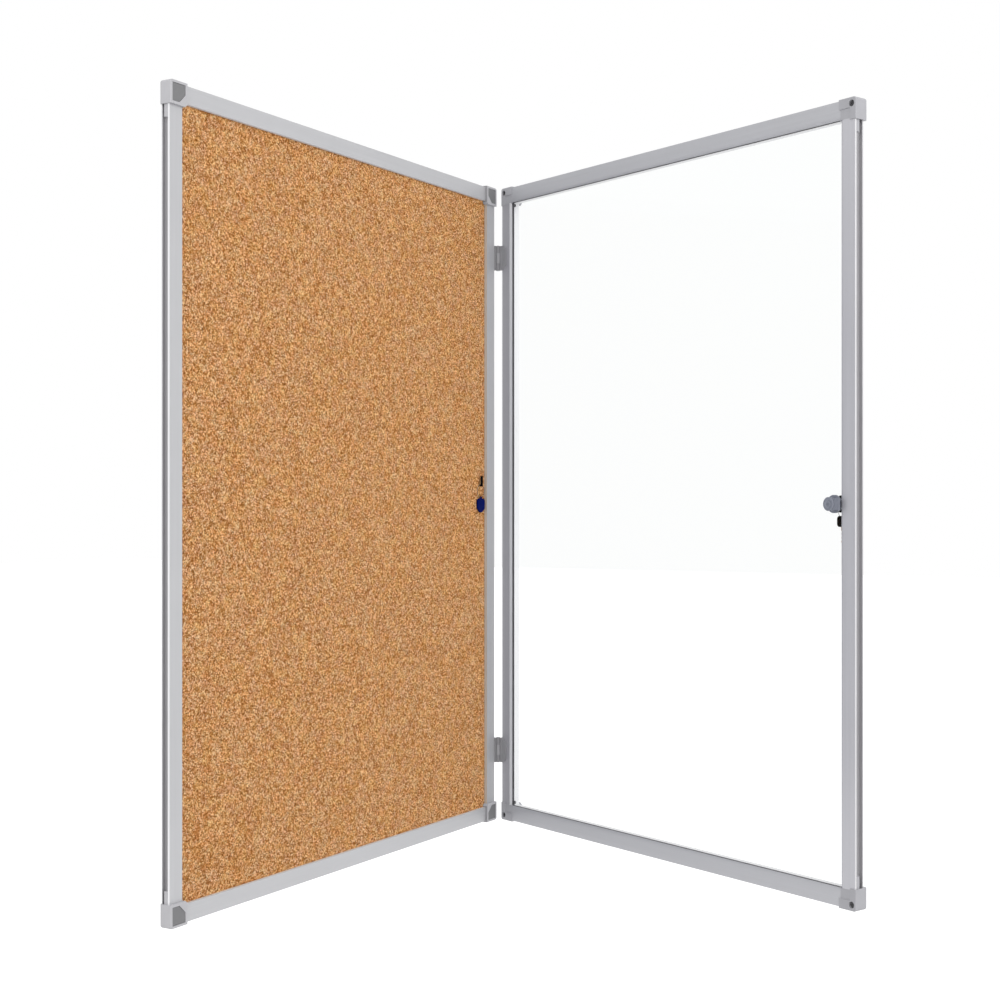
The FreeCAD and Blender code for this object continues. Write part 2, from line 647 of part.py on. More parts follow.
def lock_nut():
    """The round nut that clamps the barrel to the inside of the pane."""
    nut = lock_rod(LOCK_BARREL_RADIUS + LOCK_NUT_WALL, PANE_INNER_V - LOCK_NUT_HEIGHT, PANE_INNER_V)
    return nut.cut(lock_rod(LOCK_BARREL_RADIUS, PANE_INNER_V - 2 * LOCK_NUT_HEIGHT, PANE_OUTER_V))


def key_blade_box(v0, v1, clearance):
    """A block on the lock's axis with the key blade's section, grown by a clearance."""
    half_x = KEY_THICKNESS / 2 + clearance
    half_z = KEY_BLADE_WIDTH / 2 + clearance
    return box((LOCK_X - half_x, door_y(v1), -half_z), (LOCK_X + half_x, door_y(v0), half_z))


def lock_plug():
    """The plug that turns with the key, with its keyway and the square that drives the cam."""
    solid = lock_rod(PLUG_RADIUS, CAM_BACK_V, PLUG_FACE_V)
    half = CAM_SQUARE / 2
    square = box((LOCK_X - half, door_y(CAM_BACK_V), -half), (LOCK_X + half, door_y(CAM_FRONT_V), half))
    keyway = key_blade_box(PLUG_FACE_V - KEY_BLADE_INSERTED - KEY_CLEARANCE, PLUG_FACE_V + CUT_EXTRA,
                           KEY_CLEARANCE)
    return solid.fuse(square).cut(keyway)


def lock_cam():
    """The cam that turns behind the lip of the back frame, pointing to the free stile."""
    half = CAM_WIDTH / 2
    y = door_y(CAM_BACK_V)
    plate = box((LOCK_X - CAM_LENGTH, y, -half), (LOCK_X, y + CAM_THICKNESS, half))
    hub = lock_rod(half, CAM_FRONT_V, CAM_BACK_V)
    square = CAM_SQUARE / 2
    cut = box((LOCK_X - square, y - CUT_EXTRA, -square),
              (LOCK_X + square, y + CAM_THICKNESS + CUT_EXTRA, square))
    return plate.fuse(hub).cut(cut).removeSplitter()


def cam_cap():
    """The round cap screwed on the end of the plug, which holds the cam."""
    return lock_rod(CAM_CAP_RADIUS, CAM_FRONT_V - CAM_CAP_THICKNESS, CAM_FRONT_V)


def key_bow_flat():
    """A key bow in the XZ plane: its neck at z = 0 and its hole near the far end above."""
    half = KEY_BOW_WIDTH / 2
    half_thick = KEY_BOW_THICKNESS / 2
    solid = box((-half, -half_thick, 0), (half, half_thick, KEY_BOW_LENGTH))
    upright = [e for e in solid.Edges
               if e.BoundBox.XLength < CUT_EXTRA / 2 and e.BoundBox.ZLength < CUT_EXTRA / 2]
    solid = solid.makeFillet(KEY_BOW_ROUND, upright)
    hole_z = KEY_BOW_LENGTH - KEY_HOLE_MARGIN - KEY_HOLE_RADIUS
    hole = rod(KEY_HOLE_RADIUS, (0, -KEY_BOW_THICKNESS, hole_z), (0, 1, 0), 2 * KEY_BOW_THICKNESS)
    return solid.cut(hole)


def key_blade_flat(length):
    """A key blade below its neck in the XZ plane, with a row of cuts along one edge."""
    half = KEY_BLADE_WIDTH / 2
    depth = KEY_BLADE_WIDTH / 6
    step = (length - half) / 8
    points = [(-half, 0), (half, 0), (half, -2 * step)]
    for i in range(3):
        z = -(2 + 2 * i) * step
        points += [(half - depth, z - step / 2), (half - depth, z - step), (half, z - 3 * step / 2)]
    points += [(half, -length + half), (0, -length), (-half, -length + half)]
    outline = [(x, -KEY_THICKNESS / 2, z) for x, z in points]
    return outline_prism(outline, (0, KEY_THICKNESS, 0))


def place_lock_key(shape):
    """Turn a flat key so that its blade goes into the plug and its bow stands upright."""
    copy = shape.copy()
    copy.rotate(Vector(0, 0, 0), Vector(0, 0, 1), 90)
    copy.rotate(Vector(0, 0, 0), Vector(1, 0, 0), 90)
    copy.translate(Vector(LOCK_X, door_y(LOCK_HEAD_V + KEY_BOW_STANDOFF), 0))
    return copy


def ring_centre():
    """The depth and height of the key ring's centre, hanging in the hole of the lock key."""
    hole_v = LOCK_HEAD_V + KEY_BOW_STANDOFF + KEY_BOW_LENGTH - KEY_HOLE_MARGIN - KEY_HOLE_RADIUS
    top_wire = -(KEY_HOLE_RADIUS - KEY_RING_WIRE - KEY_RING_PLAY)
    return hole_v, top_wire - KEY_RING_RADIUS


def key_ring():
    """The wire ring that joins the key in the lock to the hanging key."""
    v, z = ring_centre()
    return Part.makeTorus(KEY_RING_RADIUS, KEY_RING_WIRE, Vector(LOCK_X, door_y(v), z), Vector(0, 1, 0))


def place_hanging_key(shape):
    """Turn a flat key so that it hangs from the ring, edge on to the pane."""
    v, z = ring_centre()
    bottom_wire = z - KEY_RING_RADIUS
    hole_top = bottom_wire + KEY_RING_WIRE + KEY_RING_PLAY / 3
    bow_top = hole_top + KEY_HOLE_MARGIN
    copy = shape.copy()
    copy.rotate(Vector(0, 0, 0), Vector(0, 0, 1), 90)
    copy.translate(Vector(LOCK_X, door_y(v), bow_top - KEY_BOW_LENGTH))
    return copy


def pane():
    """The clear pane with the round hole for the lock."""
    sheet = panel(PANE_INSET, PANE_INNER_V, PANE_OUTER_V, door_y, 0)
    hole = lock_rod(LOCK_BARREL_RADIUS + PANE_HOLE_CLEARANCE, PANE_INNER_V - CUT_EXTRA,
                    PANE_OUTER_V + CUT_EXTRA)
    return sheet.cut(hole)


def pane_gasket():
    """The flat rubber seal between the pane and the inner lip of the door's bars."""
    outer = panel(PANE_INSET, LIP_UNDER_V, PANE_INNER_V, door_y, 0)
    inner = panel(DOOR_FACE + GASKET_PROUD, LIP_UNDER_V - CUT_EXTRA, PANE_INNER_V + CUT_EXTRA, door_y, 0)
    return outer.cut(inner)


def pane_buffers():
    """The two rubber buffers on the inside of the pane, at the hinge side corners."""
    x = HALF_WIDTH - DOOR_FACE - BUFFER_FROM_BAR
    z = HALF_HEIGHT - DOOR_FACE - BUFFER_FROM_BAR
    buffers = []
    for level in (z, -z):
        stud = rod(BUFFER_RADIUS, (x, door_y(PANE_INNER_V), level), (0, 1, 0), BUFFER_HEIGHT)
        rim = edges_near(stud, y=door_y(PANE_INNER_V - BUFFER_HEIGHT))
        buffers.append(stud.makeFillet(BUFFER_RADIUS / 3, rim[:1]))
    return buffers


def key_hook():
    """The small hook in the cork: a round pin with an upright plate at its end."""
    plate_back = CORK_FRONT_Y - HOOK_STANDOFF
    half = HOOK_PLATE_WIDTH / 2
    plate = box((HOOK_X - half, plate_back - HOOK_PLATE_THICKNESS, HOOK_BOTTOM),
                (HOOK_X + half, plate_back, HOOK_BOTTOM + HOOK_PLATE_HEIGHT))
    upright = [e for e in plate.Edges if e.BoundBox.YLength > HOOK_PLATE_THICKNESS / 2]
    plate = plate.makeFillet(HOOK_PLATE_THICKNESS / 2, upright)
    pin = rod(HOOK_PIN_RADIUS, (HOOK_X, plate_back - HOOK_PLATE_THICKNESS / 2, HOOK_PIN_LEVEL),
              (0, 1, 0), HOOK_STANDOFF + HOOK_PLATE_THICKNESS / 2)
    return plate.fuse(pin)


def spare_ring_centre():
    """The Y and Z of the spare ring's centre, hanging on the hook's pin."""
    y = CORK_FRONT_Y - HOOK_STANDOFF + SPARE_RING_FROM_PLATE
    z = HOOK_PIN_LEVEL + HOOK_PIN_RADIUS + SPARE_RING_PLAY + SPARE_RING_WIRE - SPARE_RING_RADIUS
    return y, z


def spare_ring():
    """The wire ring on the hook's pin."""
    y, z = spare_ring_centre()
    return Part.makeTorus(SPARE_RING_RADIUS, SPARE_RING_WIRE, Vector(HOOK_X, y, z), Vector(0, 1, 0))


def spare_key_tag():
    """The tag with cut corners that hangs flat from the spare ring by a turned eye."""
    y, z = spare_ring_centre()
    bottom_wire = z - SPARE_RING_RADIUS
    eye_top = bottom_wire + SPARE_RING_WIRE + SPARE_RING_PLAY + (TAG_EYE_HEIGHT - 2 * TAG_EYE_HOLE) / 2
    top = eye_top - TAG_EYE_HEIGHT
    half_width = TAG_WIDTH / 2
    right = [(TAG_TOP_FLAT / 2, 0), (half_width, -TAG_SHOULDER), (half_width, TAG_TAPER - TAG_HEIGHT),
             (TAG_BOTTOM_FLAT / 2, -TAG_HEIGHT)]
    outline = right + [(-px, pz) for px, pz in reversed(right)]
    tag = outline_prism([(HOOK_X + px, y - TAG_THICKNESS / 2, top + pz) for px, pz in outline],
                        (0, TAG_THICKNESS, 0))
    eye_depth = TAG_EYE_HEIGHT / 2
    eye = box((HOOK_X - TAG_EYE_WIDTH / 2, y - eye_depth, top - CUT_EXTRA),
              (HOOK_X + TAG_EYE_WIDTH / 2, y + eye_depth, eye_top))
    hole_z = eye_top - TAG_EYE_HEIGHT / 2
    hole = rod(TAG_EYE_HOLE, (HOOK_X - TAG_EYE_WIDTH, y, hole_z), (1, 0, 0), 2 * TAG_EYE_WIDTH)
    return tag.fuse(eye).cut(hole)


def back_pieces():
    """Every piece of the back frame, by node name."""
    pieces = {}
    hinge_side = turned(back_bar(HALF_WIDTH, HALF_HEIGHT), 2)
    for hole in screw_holes(1):
        hinge_side = hinge_side.cut(hole)
    pieces["back_left_stile"] = back_bar(HALF_WIDTH, HALF_HEIGHT).cut(strike_slot())
    pieces["back_right_stile"] = hinge_side
    pieces["back_top_rail"] = turned(back_bar(HALF_HEIGHT, HALF_WIDTH), 1)
    pieces["back_bottom_rail"] = turned(back_bar(HALF_HEIGHT, HALF_WIDTH), 3)
    cork_back = CORK_RECESS + CORK_THICKNESS
    notch = BACK_FACE + BAR_END_GAP
    pieces["cork_sheet"] = panel(PANEL_INSET, CORK_RECESS, cork_back, back_y, notch)
    pieces["backing_board"] = panel(PANEL_INSET, cork_back, cork_back + BOARD_THICKNESS, back_y, notch)
    for place, shape in corner_set(back_corner()).items():
        pieces["back_corner_" + place] = shape
    for place, shape in corner_set(screw_cover()).items():
        pieces["screw_cover_" + place] = shape
    screws = []
    for name, level in (("upper", HINGE_LEVEL), ("lower", -HINGE_LEVEL)):
        pieces["hinge_frame_half_" + name] = lifted(hinge_half(1), level)
        pieces["hinge_pin_" + name] = lifted(hinge_pin(), level)
        screws += [lifted(s, level) for s in hinge_screws(1)]
    pieces["hinge_frame_screws"] = Part.makeCompound(screws)
    pieces["key_hook"] = key_hook()
    pieces["spare_key_ring"] = spare_ring()
    pieces["spare_key_tag"] = spare_key_tag()
    return pieces


def door_pieces():
    """Every piece of the closed door, its lock and its keys, by node name."""
    pieces = {}
    hinge_side = turned(door_bar(HALF_WIDTH, HALF_HEIGHT), 2)
    for hole in screw_holes(-1):
        hinge_side = hinge_side.cut(hole)
    pieces["door_hinge_stile"] = hinge_side
    pieces["door_free_stile"] = door_bar(HALF_WIDTH, HALF_HEIGHT)
    pieces["door_top_rail"] = turned(door_bar(HALF_HEIGHT, HALF_WIDTH), 1)
    pieces["door_bottom_rail"] = turned(door_bar(HALF_HEIGHT, HALF_WIDTH), 3)
    for place, shape in corner_set(door_corner()).items():
        pieces["door_corner_" + place] = shape
    pieces["door_corner_screws"] = Part.makeCompound(list(corner_set(door_corner_screw()).values()))
    pieces["pane"] = pane()
    pieces["pane_gasket"] = pane_gasket()
    pieces["pane_buffers"] = Part.makeCompound(pane_buffers())
    screws = []
    for name, level in (("upper", HINGE_LEVEL), ("lower", -HINGE_LEVEL)):
        pieces["hinge_door_half_" + name] = lifted(hinge_half(-1), level)
        screws += [lifted(s, level) for s in hinge_screws(-1)]
    pieces["hinge_door_screws"] = Part.makeCompound(screws)
    pieces["lock_barrel"] = lock_barrel()
    pieces["lock_nut"] = lock_nut()
    pieces["lock_plug"] = lock_plug()
    pieces["lock_cam"] = lock_cam()
    pieces["cam_cap"] = cam_cap()
    inserted = KEY_BOW_STANDOFF + PLUG_SUNK + KEY_BLADE_INSERTED
    pieces["lock_key_blade"] = place_lock_key(key_blade_flat(inserted))
    pieces["lock_key_bow"] = place_lock_key(key_bow_flat())
    pieces["key_ring"] = key_ring()
    pieces["hanging_key_blade"] = place_hanging_key(key_blade_flat(KEY_BLADE_LENGTH))
    pieces["hanging_key_bow"] = place_hanging_key(key_bow_flat())
    return pieces


def main():
    """Build every piece, turn the door open and write one file per piece."""
    os.makedirs("parts", exist_ok=True)
    pieces = back_pieces()
    for name, shape in door_pieces().items():
        pieces[name] = opened(shape)
    for name, shape in pieces.items():
        shape.exportStep("parts/" + name + ".step")
        print(name, "solids", len(shape.Solids), "volume", round(shape.Volume, 1), "valid", shape.isValid())


main()
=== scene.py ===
import json
import math

import bmesh
import bpy
from mathutils import Matrix, Vector


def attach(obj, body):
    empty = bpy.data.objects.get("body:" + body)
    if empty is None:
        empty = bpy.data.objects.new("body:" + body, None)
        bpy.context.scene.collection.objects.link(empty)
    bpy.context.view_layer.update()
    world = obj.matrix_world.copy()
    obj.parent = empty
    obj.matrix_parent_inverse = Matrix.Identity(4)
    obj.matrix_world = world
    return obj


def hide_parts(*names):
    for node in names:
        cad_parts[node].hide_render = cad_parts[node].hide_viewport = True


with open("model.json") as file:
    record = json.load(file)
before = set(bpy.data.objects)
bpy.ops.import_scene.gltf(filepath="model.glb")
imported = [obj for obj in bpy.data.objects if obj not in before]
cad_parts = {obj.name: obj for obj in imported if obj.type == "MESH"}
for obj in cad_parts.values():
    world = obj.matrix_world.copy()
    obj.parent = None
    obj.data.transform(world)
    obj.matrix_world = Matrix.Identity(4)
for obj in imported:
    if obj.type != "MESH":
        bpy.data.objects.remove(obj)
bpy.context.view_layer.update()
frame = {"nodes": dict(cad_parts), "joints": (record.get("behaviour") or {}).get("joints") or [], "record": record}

# Lockable notice board: an aluminium back frame with a cork sheet, and a hinged door with a clear
# pane, a cam lock and keys. Everything is in metres, and MM turns a size in millimetres to metres.
MM = 0.001
BODIES = frame["record"]["behaviour"]["bodies"]
BODY_OF = {node: body for body, nodes in BODIES.items() for node in nodes}
JOINTS = {joint["name"]: joint for joint in frame["joints"]}

# The door's place and directions at rest, from its joint: it is modelled closed and turned open
DOOR_HINGE = Vector(JOINTS["door_swing"]["pos_m"])
DOOR_ANGLE = math.radians(-JOINTS["door_swing"]["range_deg"][0])
TO_HINGE = Matrix.Translation(DOOR_HINGE)
OPENED = TO_HINGE @ Matrix.Rotation(DOOR_ANGLE, 4, "Z") @ TO_HINGE.inverted()
DOOR_TURN = OPENED.to_3x3()
ACROSS_DOOR = DOOR_TURN @ Vector((1.0, 0.0, 0.0))
THROUGH_DOOR = DOOR_TURN @ Vector((0.0, 1.0, 0.0))
THROUGH_BOARD = Vector((0.0, 1.0, 0.0))

# Photograph: the camera's place and its lens
CAMERA_PLACE = Vector((-1.7245, -1.2879, 0.0))
CAMERA_TURN = math.radians(-61.74)
CAMERA_LENS = 56.39
CAMERA_SENSOR = 36.0
CAMERA_SHIFT = (-0.0818, 0.0040)

# Sections of the bars and the corner pieces, in millimetres: widths are measured inwards from the
# outside of the frame, levels from the face that is towards the room on the back frame and
# towards the cork on the door
HALF_WIDTH = 358.5
HALF_HEIGHT = 489.0
BACK_DEPTH = 13.5
DOOR_DEPTH = 16.0
DOOR_INNER = -18.5
GROOVE_START = 0.4
GROOVE_WALL = 2.6
GROOVE_DEPTH = 5.0
BACK_FACE = 21.5
DOOR_FACE = 23.0
LIP_SLOPE_WIDTH = 4.2
LIP_SLOPE_DROP = 1.4
PANE_OUTSIDE = 6.8
CORNER_MIDDLE = 14.0
CORNER_LAP = 4.8
CORK_LEVEL = 5.0
SLACK = 0.3
FINE_SLACK = 0.2

# The lock's nut and cap: the cap's profile is (height, radius) from its lower face up
NUT_NOTCHES = 6
NUT_NOTCH_RADIUS = 11.4 * MM
NUT_NOTCH = (1.6 * MM, 6.0 * MM, 2.4 * MM)
NUT_EDGE = 0.3 * MM
CAP_HEIGHT = 0.8 * MM
CAP_PROFILE = [(height * MM, radius * MM) for height, radius in (
    (0.0, 8.3), (0.12, 8.5), (0.45, 8.5), (0.66, 8.25), (0.78, 7.6),
    (0.8, 4.2), (0.6, 3.9), (0.6, 3.5), (0.7, 3.3), (0.8, 2.6))]
CROSS_LENGTH = 4.0 * MM
CROSS_WIDTH = 0.8 * MM
CROSS_DEPTH = 0.9 * MM
ROUND_SIDES = 48

# The rings' wires, each of two turns less a gap, and the sides pressed in on bows and tag
RING_RADIUS = 8.2 * MM
RING_WIRE = 0.6 * MM
SPARE_RING_RADIUS = 9.9 * MM
SPARE_RING_WIRE = 0.5 * MM
RING_TURNS = 2
RING_ANGLE = math.radians(712)
RING_STEPS = 128
WIRE_SIDES = 10
BOW_RIM = 1.1 * MM
BOW_PRESS = 0.25 * MM
TAG_RIM = 1.6 * MM
TAG_PRESS = 0.4 * MM
PRESSED_EDGE = 0.3 * MM
BROAD_SIDE = 8 * MM * MM

# Softened edges
BAR_EDGE = 0.35 * MM
CORNER_EDGE = 0.45 * MM
SMALL_EDGE = 0.25 * MM
FINE_EDGE = 0.12 * MM
PIN_EDGE = 0.35 * MM
WELD = 0.004 * MM
FLAT_ANGLE = math.radians(0.8)
EDGE_ANGLE = math.radians(32)
SMOOTH_ANGLE = math.radians(38)
WIRE_ANGLE = math.radians(60)


# Mesh tools

def object_mode():
    """Leave edit mode."""
    bpy.ops.object.mode_set(mode="OBJECT")


def deselect_all():
    """Leave edit mode and select nothing."""
    if bpy.context.object and bpy.context.object.mode != "OBJECT":
        object_mode()
    bpy.ops.object.select_all(action="DESELECT")


def take(piece):
    """Select one piece alone and make it active."""
    deselect_all()
    piece.select_set(True)
    bpy.context.view_layer.objects.active = piece


def edit_all(piece):
    """Go into edit mode with all of a piece selected."""
    take(piece)
    bpy.ops.object.mode_set(mode="EDIT")
    bpy.ops.mesh.select_all(action="SELECT")


def apply_all(piece):
    """Apply every modifier of a piece, in order."""
    take(piece)
    for modifier in list(piece.modifiers):
        bpy.ops.object.modifier_apply(modifier=modifier.name)


def mend_normals(piece):
    """Merge a piece's doubles and turn its faces outwards."""
    edit_all(piece)
    bpy.ops.mesh.remove_doubles(threshold=WELD)
    bpy.ops.mesh.normals_make_consistent(inside=False)
    object_mode()


def smooth(piece, angle=SMOOTH_ANGLE):
    """Shade a piece smooth where its faces meet at less than an angle."""
    take(piece)
    bpy.ops.object.shade_smooth_by_angle(angle=angle)


def soften(piece, width, segments=2):
    """Round the edges of a piece by a small bevel."""
    bevel = piece.modifiers.new("edges", "BEVEL")
    bevel.width = width
    bevel.segments = segments
    bevel.limit_method = "ANGLE"
    bevel.angle_limit = EDGE_ANGLE
    bevel.use_clamp_overlap = True
    apply_all(piece)
    smooth(piece)
    even_shading(piece)


def even_shading(piece):
    """Let a piece's broad faces keep their own normals, and cut its faces of many sides up."""
    normals = piece.modifiers.new("normals", "WEIGHTED_NORMAL")
    normals.mode = "FACE_AREA"
    normals.weight = 100
    normals.keep_sharp = True
    triangles = piece.modifiers.new("triangles", "TRIANGULATE")
    triangles.keep_custom_normals = True
    triangles.min_vertices = 5
    apply_all(piece)


def worked_copy(node):
    """A copy of a node's mesh with its loose triangles merged and its flat faces made whole."""
    piece = bpy.data.objects.new(node + "_piece", frame["nodes"][node].data.copy())
    bpy.context.scene.collection.objects.link(piece)
    piece.data.materials.clear()
    take(piece)
    bpy.ops.mesh.customdata_custom_splitnormals_clear()
    edit_all(piece)
    bpy.ops.mesh.remove_doubles(threshold=WELD)
    bpy.ops.mesh.dissolve_limited(angle_limit=FLAT_ANGLE)
    object_mode()
    return piece


def pick_faces(piece, wanted):
    """Go into edit mode with only the faces selected that a test on a face wants."""
    take(piece)
    bpy.ops.object.mode_set(mode="EDIT")
    bpy.context.tool_settings.mesh_select_mode = (False, False, True)
    bpy.ops.mesh.select_all(action="DESELECT")
    mesh = bmesh.from_edit_mesh(piece.data)
    for face in mesh.faces:
        face.select_set(bool(wanted(face)))
    bmesh.update_edit_mesh(piece.data)


def centre_of(node):
    """The middle of a node's box."""
    corners = [Vector(corner) for corner in frame["nodes"][node].bound_box]
    return sum(corners, Vector()) / len(corners)


def fix_place(piece):
    """Put a piece's place, turn and size into its mesh."""
    take(piece)
    bpy.ops.object.transform_apply(location=True, rotation=True, scale=True)


def stand_at(piece, place, axis):
    """Stand a piece that was made upright at the origin on a place, along an axis."""
    turn = Vector(axis).to_track_quat("Z", "Y").to_matrix().to_4x4()
    piece.matrix_world = Matrix.Translation(place) @ turn
    fix_place(piece)


def turned_piece(name, place, axis, profile):
    """A round piece raised step by step: each step is (height, radius), from a first flat disc."""
    height, radius = profile[0]
    deselect_all()
    bpy.ops.mesh.primitive_circle_add(vertices=ROUND_SIDES, radius=radius, fill_type="NGON")
    piece = bpy.context.object
    piece.name = name
    edit_all(piece)
    for next_height, next_radius in profile[1:]:
        rise = (0.0, 0.0, next_height - height)
        bpy.ops.mesh.extrude_region_move(TRANSFORM_OT_translate={"value": rise})
        share = next_radius / radius
        bpy.ops.transform.resize(value=(share, share, 1.0), center_override=(0.0, 0.0, next_height))
        height, radius = next_height, next_radius
    object_mode()
    mend_normals(piece)
    stand_at(piece, place, axis)
    return piece


def cut_away(piece, cutters):
    """Cut other pieces out of a piece and delete them."""
    for cutter in cutters:
        cut = piece.modifiers.new("cut", "BOOLEAN")
        cut.operation = "DIFFERENCE"
        cut.object = cutter
        cut.solver = "EXACT"
    apply_all(piece)
    for cutter in cutters:
        bpy.data.objects.remove(cutter)


def block(name, size, place, turn):
    """A block of a size at a place, for cutting slots."""
    deselect_all()
    bpy.ops.mesh.primitive_cube_add(size=1.0)
    piece = bpy.context.object
    piece.name = name
    piece.matrix_world = Matrix.Translation(place) @ turn.to_4x4() @ Matrix.Diagonal((*size, 1.0))
    fix_place(piece)
    return piece


def hand_over(piece, node, material=None):
    """Give a piece its body and, where it has none yet, its material, and let it stand for its node."""
    if material:
        piece.data.materials.append(material)
    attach(piece, BODY_OF[node])
    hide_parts(node)


def softened_nodes(nodes, width, material, segments=2):
    """Each node again, with rounded edges and a material."""
    for node in nodes:
        piece = worked_copy(node)
        soften(piece, width, segments)
        hand_over(piece, node, material)


def toned_node(node, width, materials, slot_of):
    """A node again, with rounded edges and on each face the material that its middle calls for."""
    piece = worked_copy(node)
    soften(piece, width)
    for material in materials:
        piece.data.materials.append(material)
    for slot in range(1, len(materials)):
        pick_faces(piece, lambda face: slot_of(face.calc_center_median()) == slot)
        piece.active_material_index = slot
        bpy.ops.object.material_slot_assign()
        object_mode()
    hand_over(piece, node)


# Shader tools

# A mix node's colour sockets, which share their names with its sockets of other kinds
MIX_SHARE, MIX_FIRST, MIX_SECOND, MIX_RESULT = 0, 6, 7, 2


def feed(tree, node, inputs):
    """Give a node's inputs their values and their links."""
    for socket, value in inputs.items():
        if isinstance(value, bpy.types.NodeSocket):
            tree.links.new(value, node.inputs[socket])
        else:
            node.inputs[socket].default_value = value


def add_node(tree, kind, inputs=None, **settings):
    """A shader node with its settings, its input values and its links."""
    node = tree.nodes.new(kind)
    for key, value in settings.items():
        setattr(node, key, value)
    feed(tree, node, inputs or {})
    return node


def new_group(name, inputs, outputs):
    """A shader node group with named sockets; gives its tree, its start sockets and its end sockets."""
    tree = bpy.data.node_groups.new(name, "ShaderNodeTree")
    for label, kind, value in inputs:
        socket = tree.interface.new_socket(label, in_out="INPUT", socket_type=kind)
        if value is not None:
            socket.default_value = value
    for label, kind in outputs:
        tree.interface.new_socket(label, in_out="OUTPUT", socket_type=kind)
    start = tree.nodes.new("NodeGroupInput")
    end = tree.nodes.new("NodeGroupOutput")
    return tree, start.outputs, end.inputs


def use_group(tree, group, inputs):
    """A group node in a material, with its own values."""
    return add_node(tree, "ShaderNodeGroup", inputs, node_tree=group).outputs


def math_node(tree, operation, first, second=0.0):
    """The result of an operation on two values."""
    return add_node(tree, "ShaderNodeMath", {0: first, 1: second}, operation=operation).outputs[0]


def spread(tree, value, low, high, to_low=0.0, to_high=1.0):
    """A value taken from one range to another and held within it."""
    return add_node(tree, "ShaderNodeMapRange", {"Value": value, "From Min": low, "From Max": high,
                                                 "To Min": to_low, "To Max": to_high}).outputs[0]


def mix_colour(tree, share, first, second, blend="MIX"):
    """Two colours mixed by a share."""
    node = add_node(tree, "ShaderNodeMix", data_type="RGBA", blend_type=blend)
    feed(tree, node, {MIX_SHARE: share, MIX_FIRST: first, MIX_SECOND: second})
    return node.outputs[MIX_RESULT]


def colour_steps(tree, value, steps):
    """A colour ramp from (position, colour) steps."""
    node = add_node(tree, "ShaderNodeValToRGB", {"Fac": value})
    ramp = node.color_ramp
    while len(ramp.elements) < len(steps):
        ramp.elements.new(1.0)
    for element, (position, colour) in zip(ramp.elements, steps):
        element.position = position
        element.color = (*colour, 1.0)
    return node.outputs["Color"]


def shade_by(tree, base, tone, amount):
    """A base colour made lighter and darker by a tone about one half."""
    factor = spread(tree, tone, 0.0, 1.0, 1.0 - amount, 1.0 + amount)
    grey = add_node(tree, "ShaderNodeCombineColor", {0: factor, 1: factor, 2: factor}).outputs[0]
    return mix_colour(tree, 1.0, (*base, 1.0), grey, "MULTIPLY")


VECTOR = ("Vector", "NodeSocketVector", None)


def make_drawn_lines():
    """Fine lines along X, as a die leaves them on an extruded bar."""
    tree, start, end = new_group("drawn_lines", [VECTOR, ("Fineness", "NodeSocketFloat", 900.0)],
                                 [("Tone", "NodeSocketFloat"), ("Height", "NodeSocketFloat")])
    stretched = add_node(tree, "ShaderNodeVectorMath", {0: start["Vector"], 1: (0.012, 1.0, 1.0)},
                         operation="MULTIPLY").outputs[0]
    fine = add_node(tree, "ShaderNodeTexNoise", {"Vector": stretched, "Scale": start["Fineness"],
                                                 "Detail": 3.0, "Roughness": 0.6}).outputs["Fac"]
    broad_scale = math_node(tree, "MULTIPLY", start["Fineness"], 0.16)
    broad = add_node(tree, "ShaderNodeTexNoise", {"Vector": stretched, "Scale": broad_scale,
                                                  "Detail": 1.0}).outputs["Fac"]
    cloud = add_node(tree, "ShaderNodeTexNoise", {"Vector": start["Vector"], "Scale": 9.0,
                                                  "Detail": 2.0}).outputs["Fac"]
    streaks = math_node(tree, "ADD", math_node(tree, "MULTIPLY", fine, 0.5),
                        math_node(tree, "MULTIPLY", broad, 0.5))
    tone = math_node(tree, "ADD", math_node(tree, "MULTIPLY", streaks, 0.75),
                     math_node(tree, "MULTIPLY", cloud, 0.25))
    tree.links.new(spread(tree, tone, 0.3, 0.7), end["Tone"])
    tree.links.new(streaks, end["Height"])
    return tree


def make_fine_grain():
    """The fine even grain of moulded plastic and cast metal."""
    tree, start, end = new_group("fine_grain", [VECTOR, ("Size", "NodeSocketFloat", 1600.0)],
                                 [("Tone", "NodeSocketFloat"), ("Height", "NodeSocketFloat")])
    grain = add_node(tree, "ShaderNodeTexNoise", {"Vector": start["Vector"], "Scale": start["Size"],
                                                  "Detail": 2.0, "Roughness": 0.7}).outputs["Fac"]
    cloud = add_node(tree, "ShaderNodeTexNoise", {"Vector": start["Vector"], "Scale": 60.0,
                                                  "Detail": 3.0}).outputs["Fac"]
    tone = math_node(tree, "ADD", math_node(tree, "MULTIPLY", grain, 0.4),
                     math_node(tree, "MULTIPLY", cloud, 0.6))
    tree.links.new(spread(tree, tone, 0.3, 0.7), end["Tone"])
    tree.links.new(grain, end["Height"])
    return tree


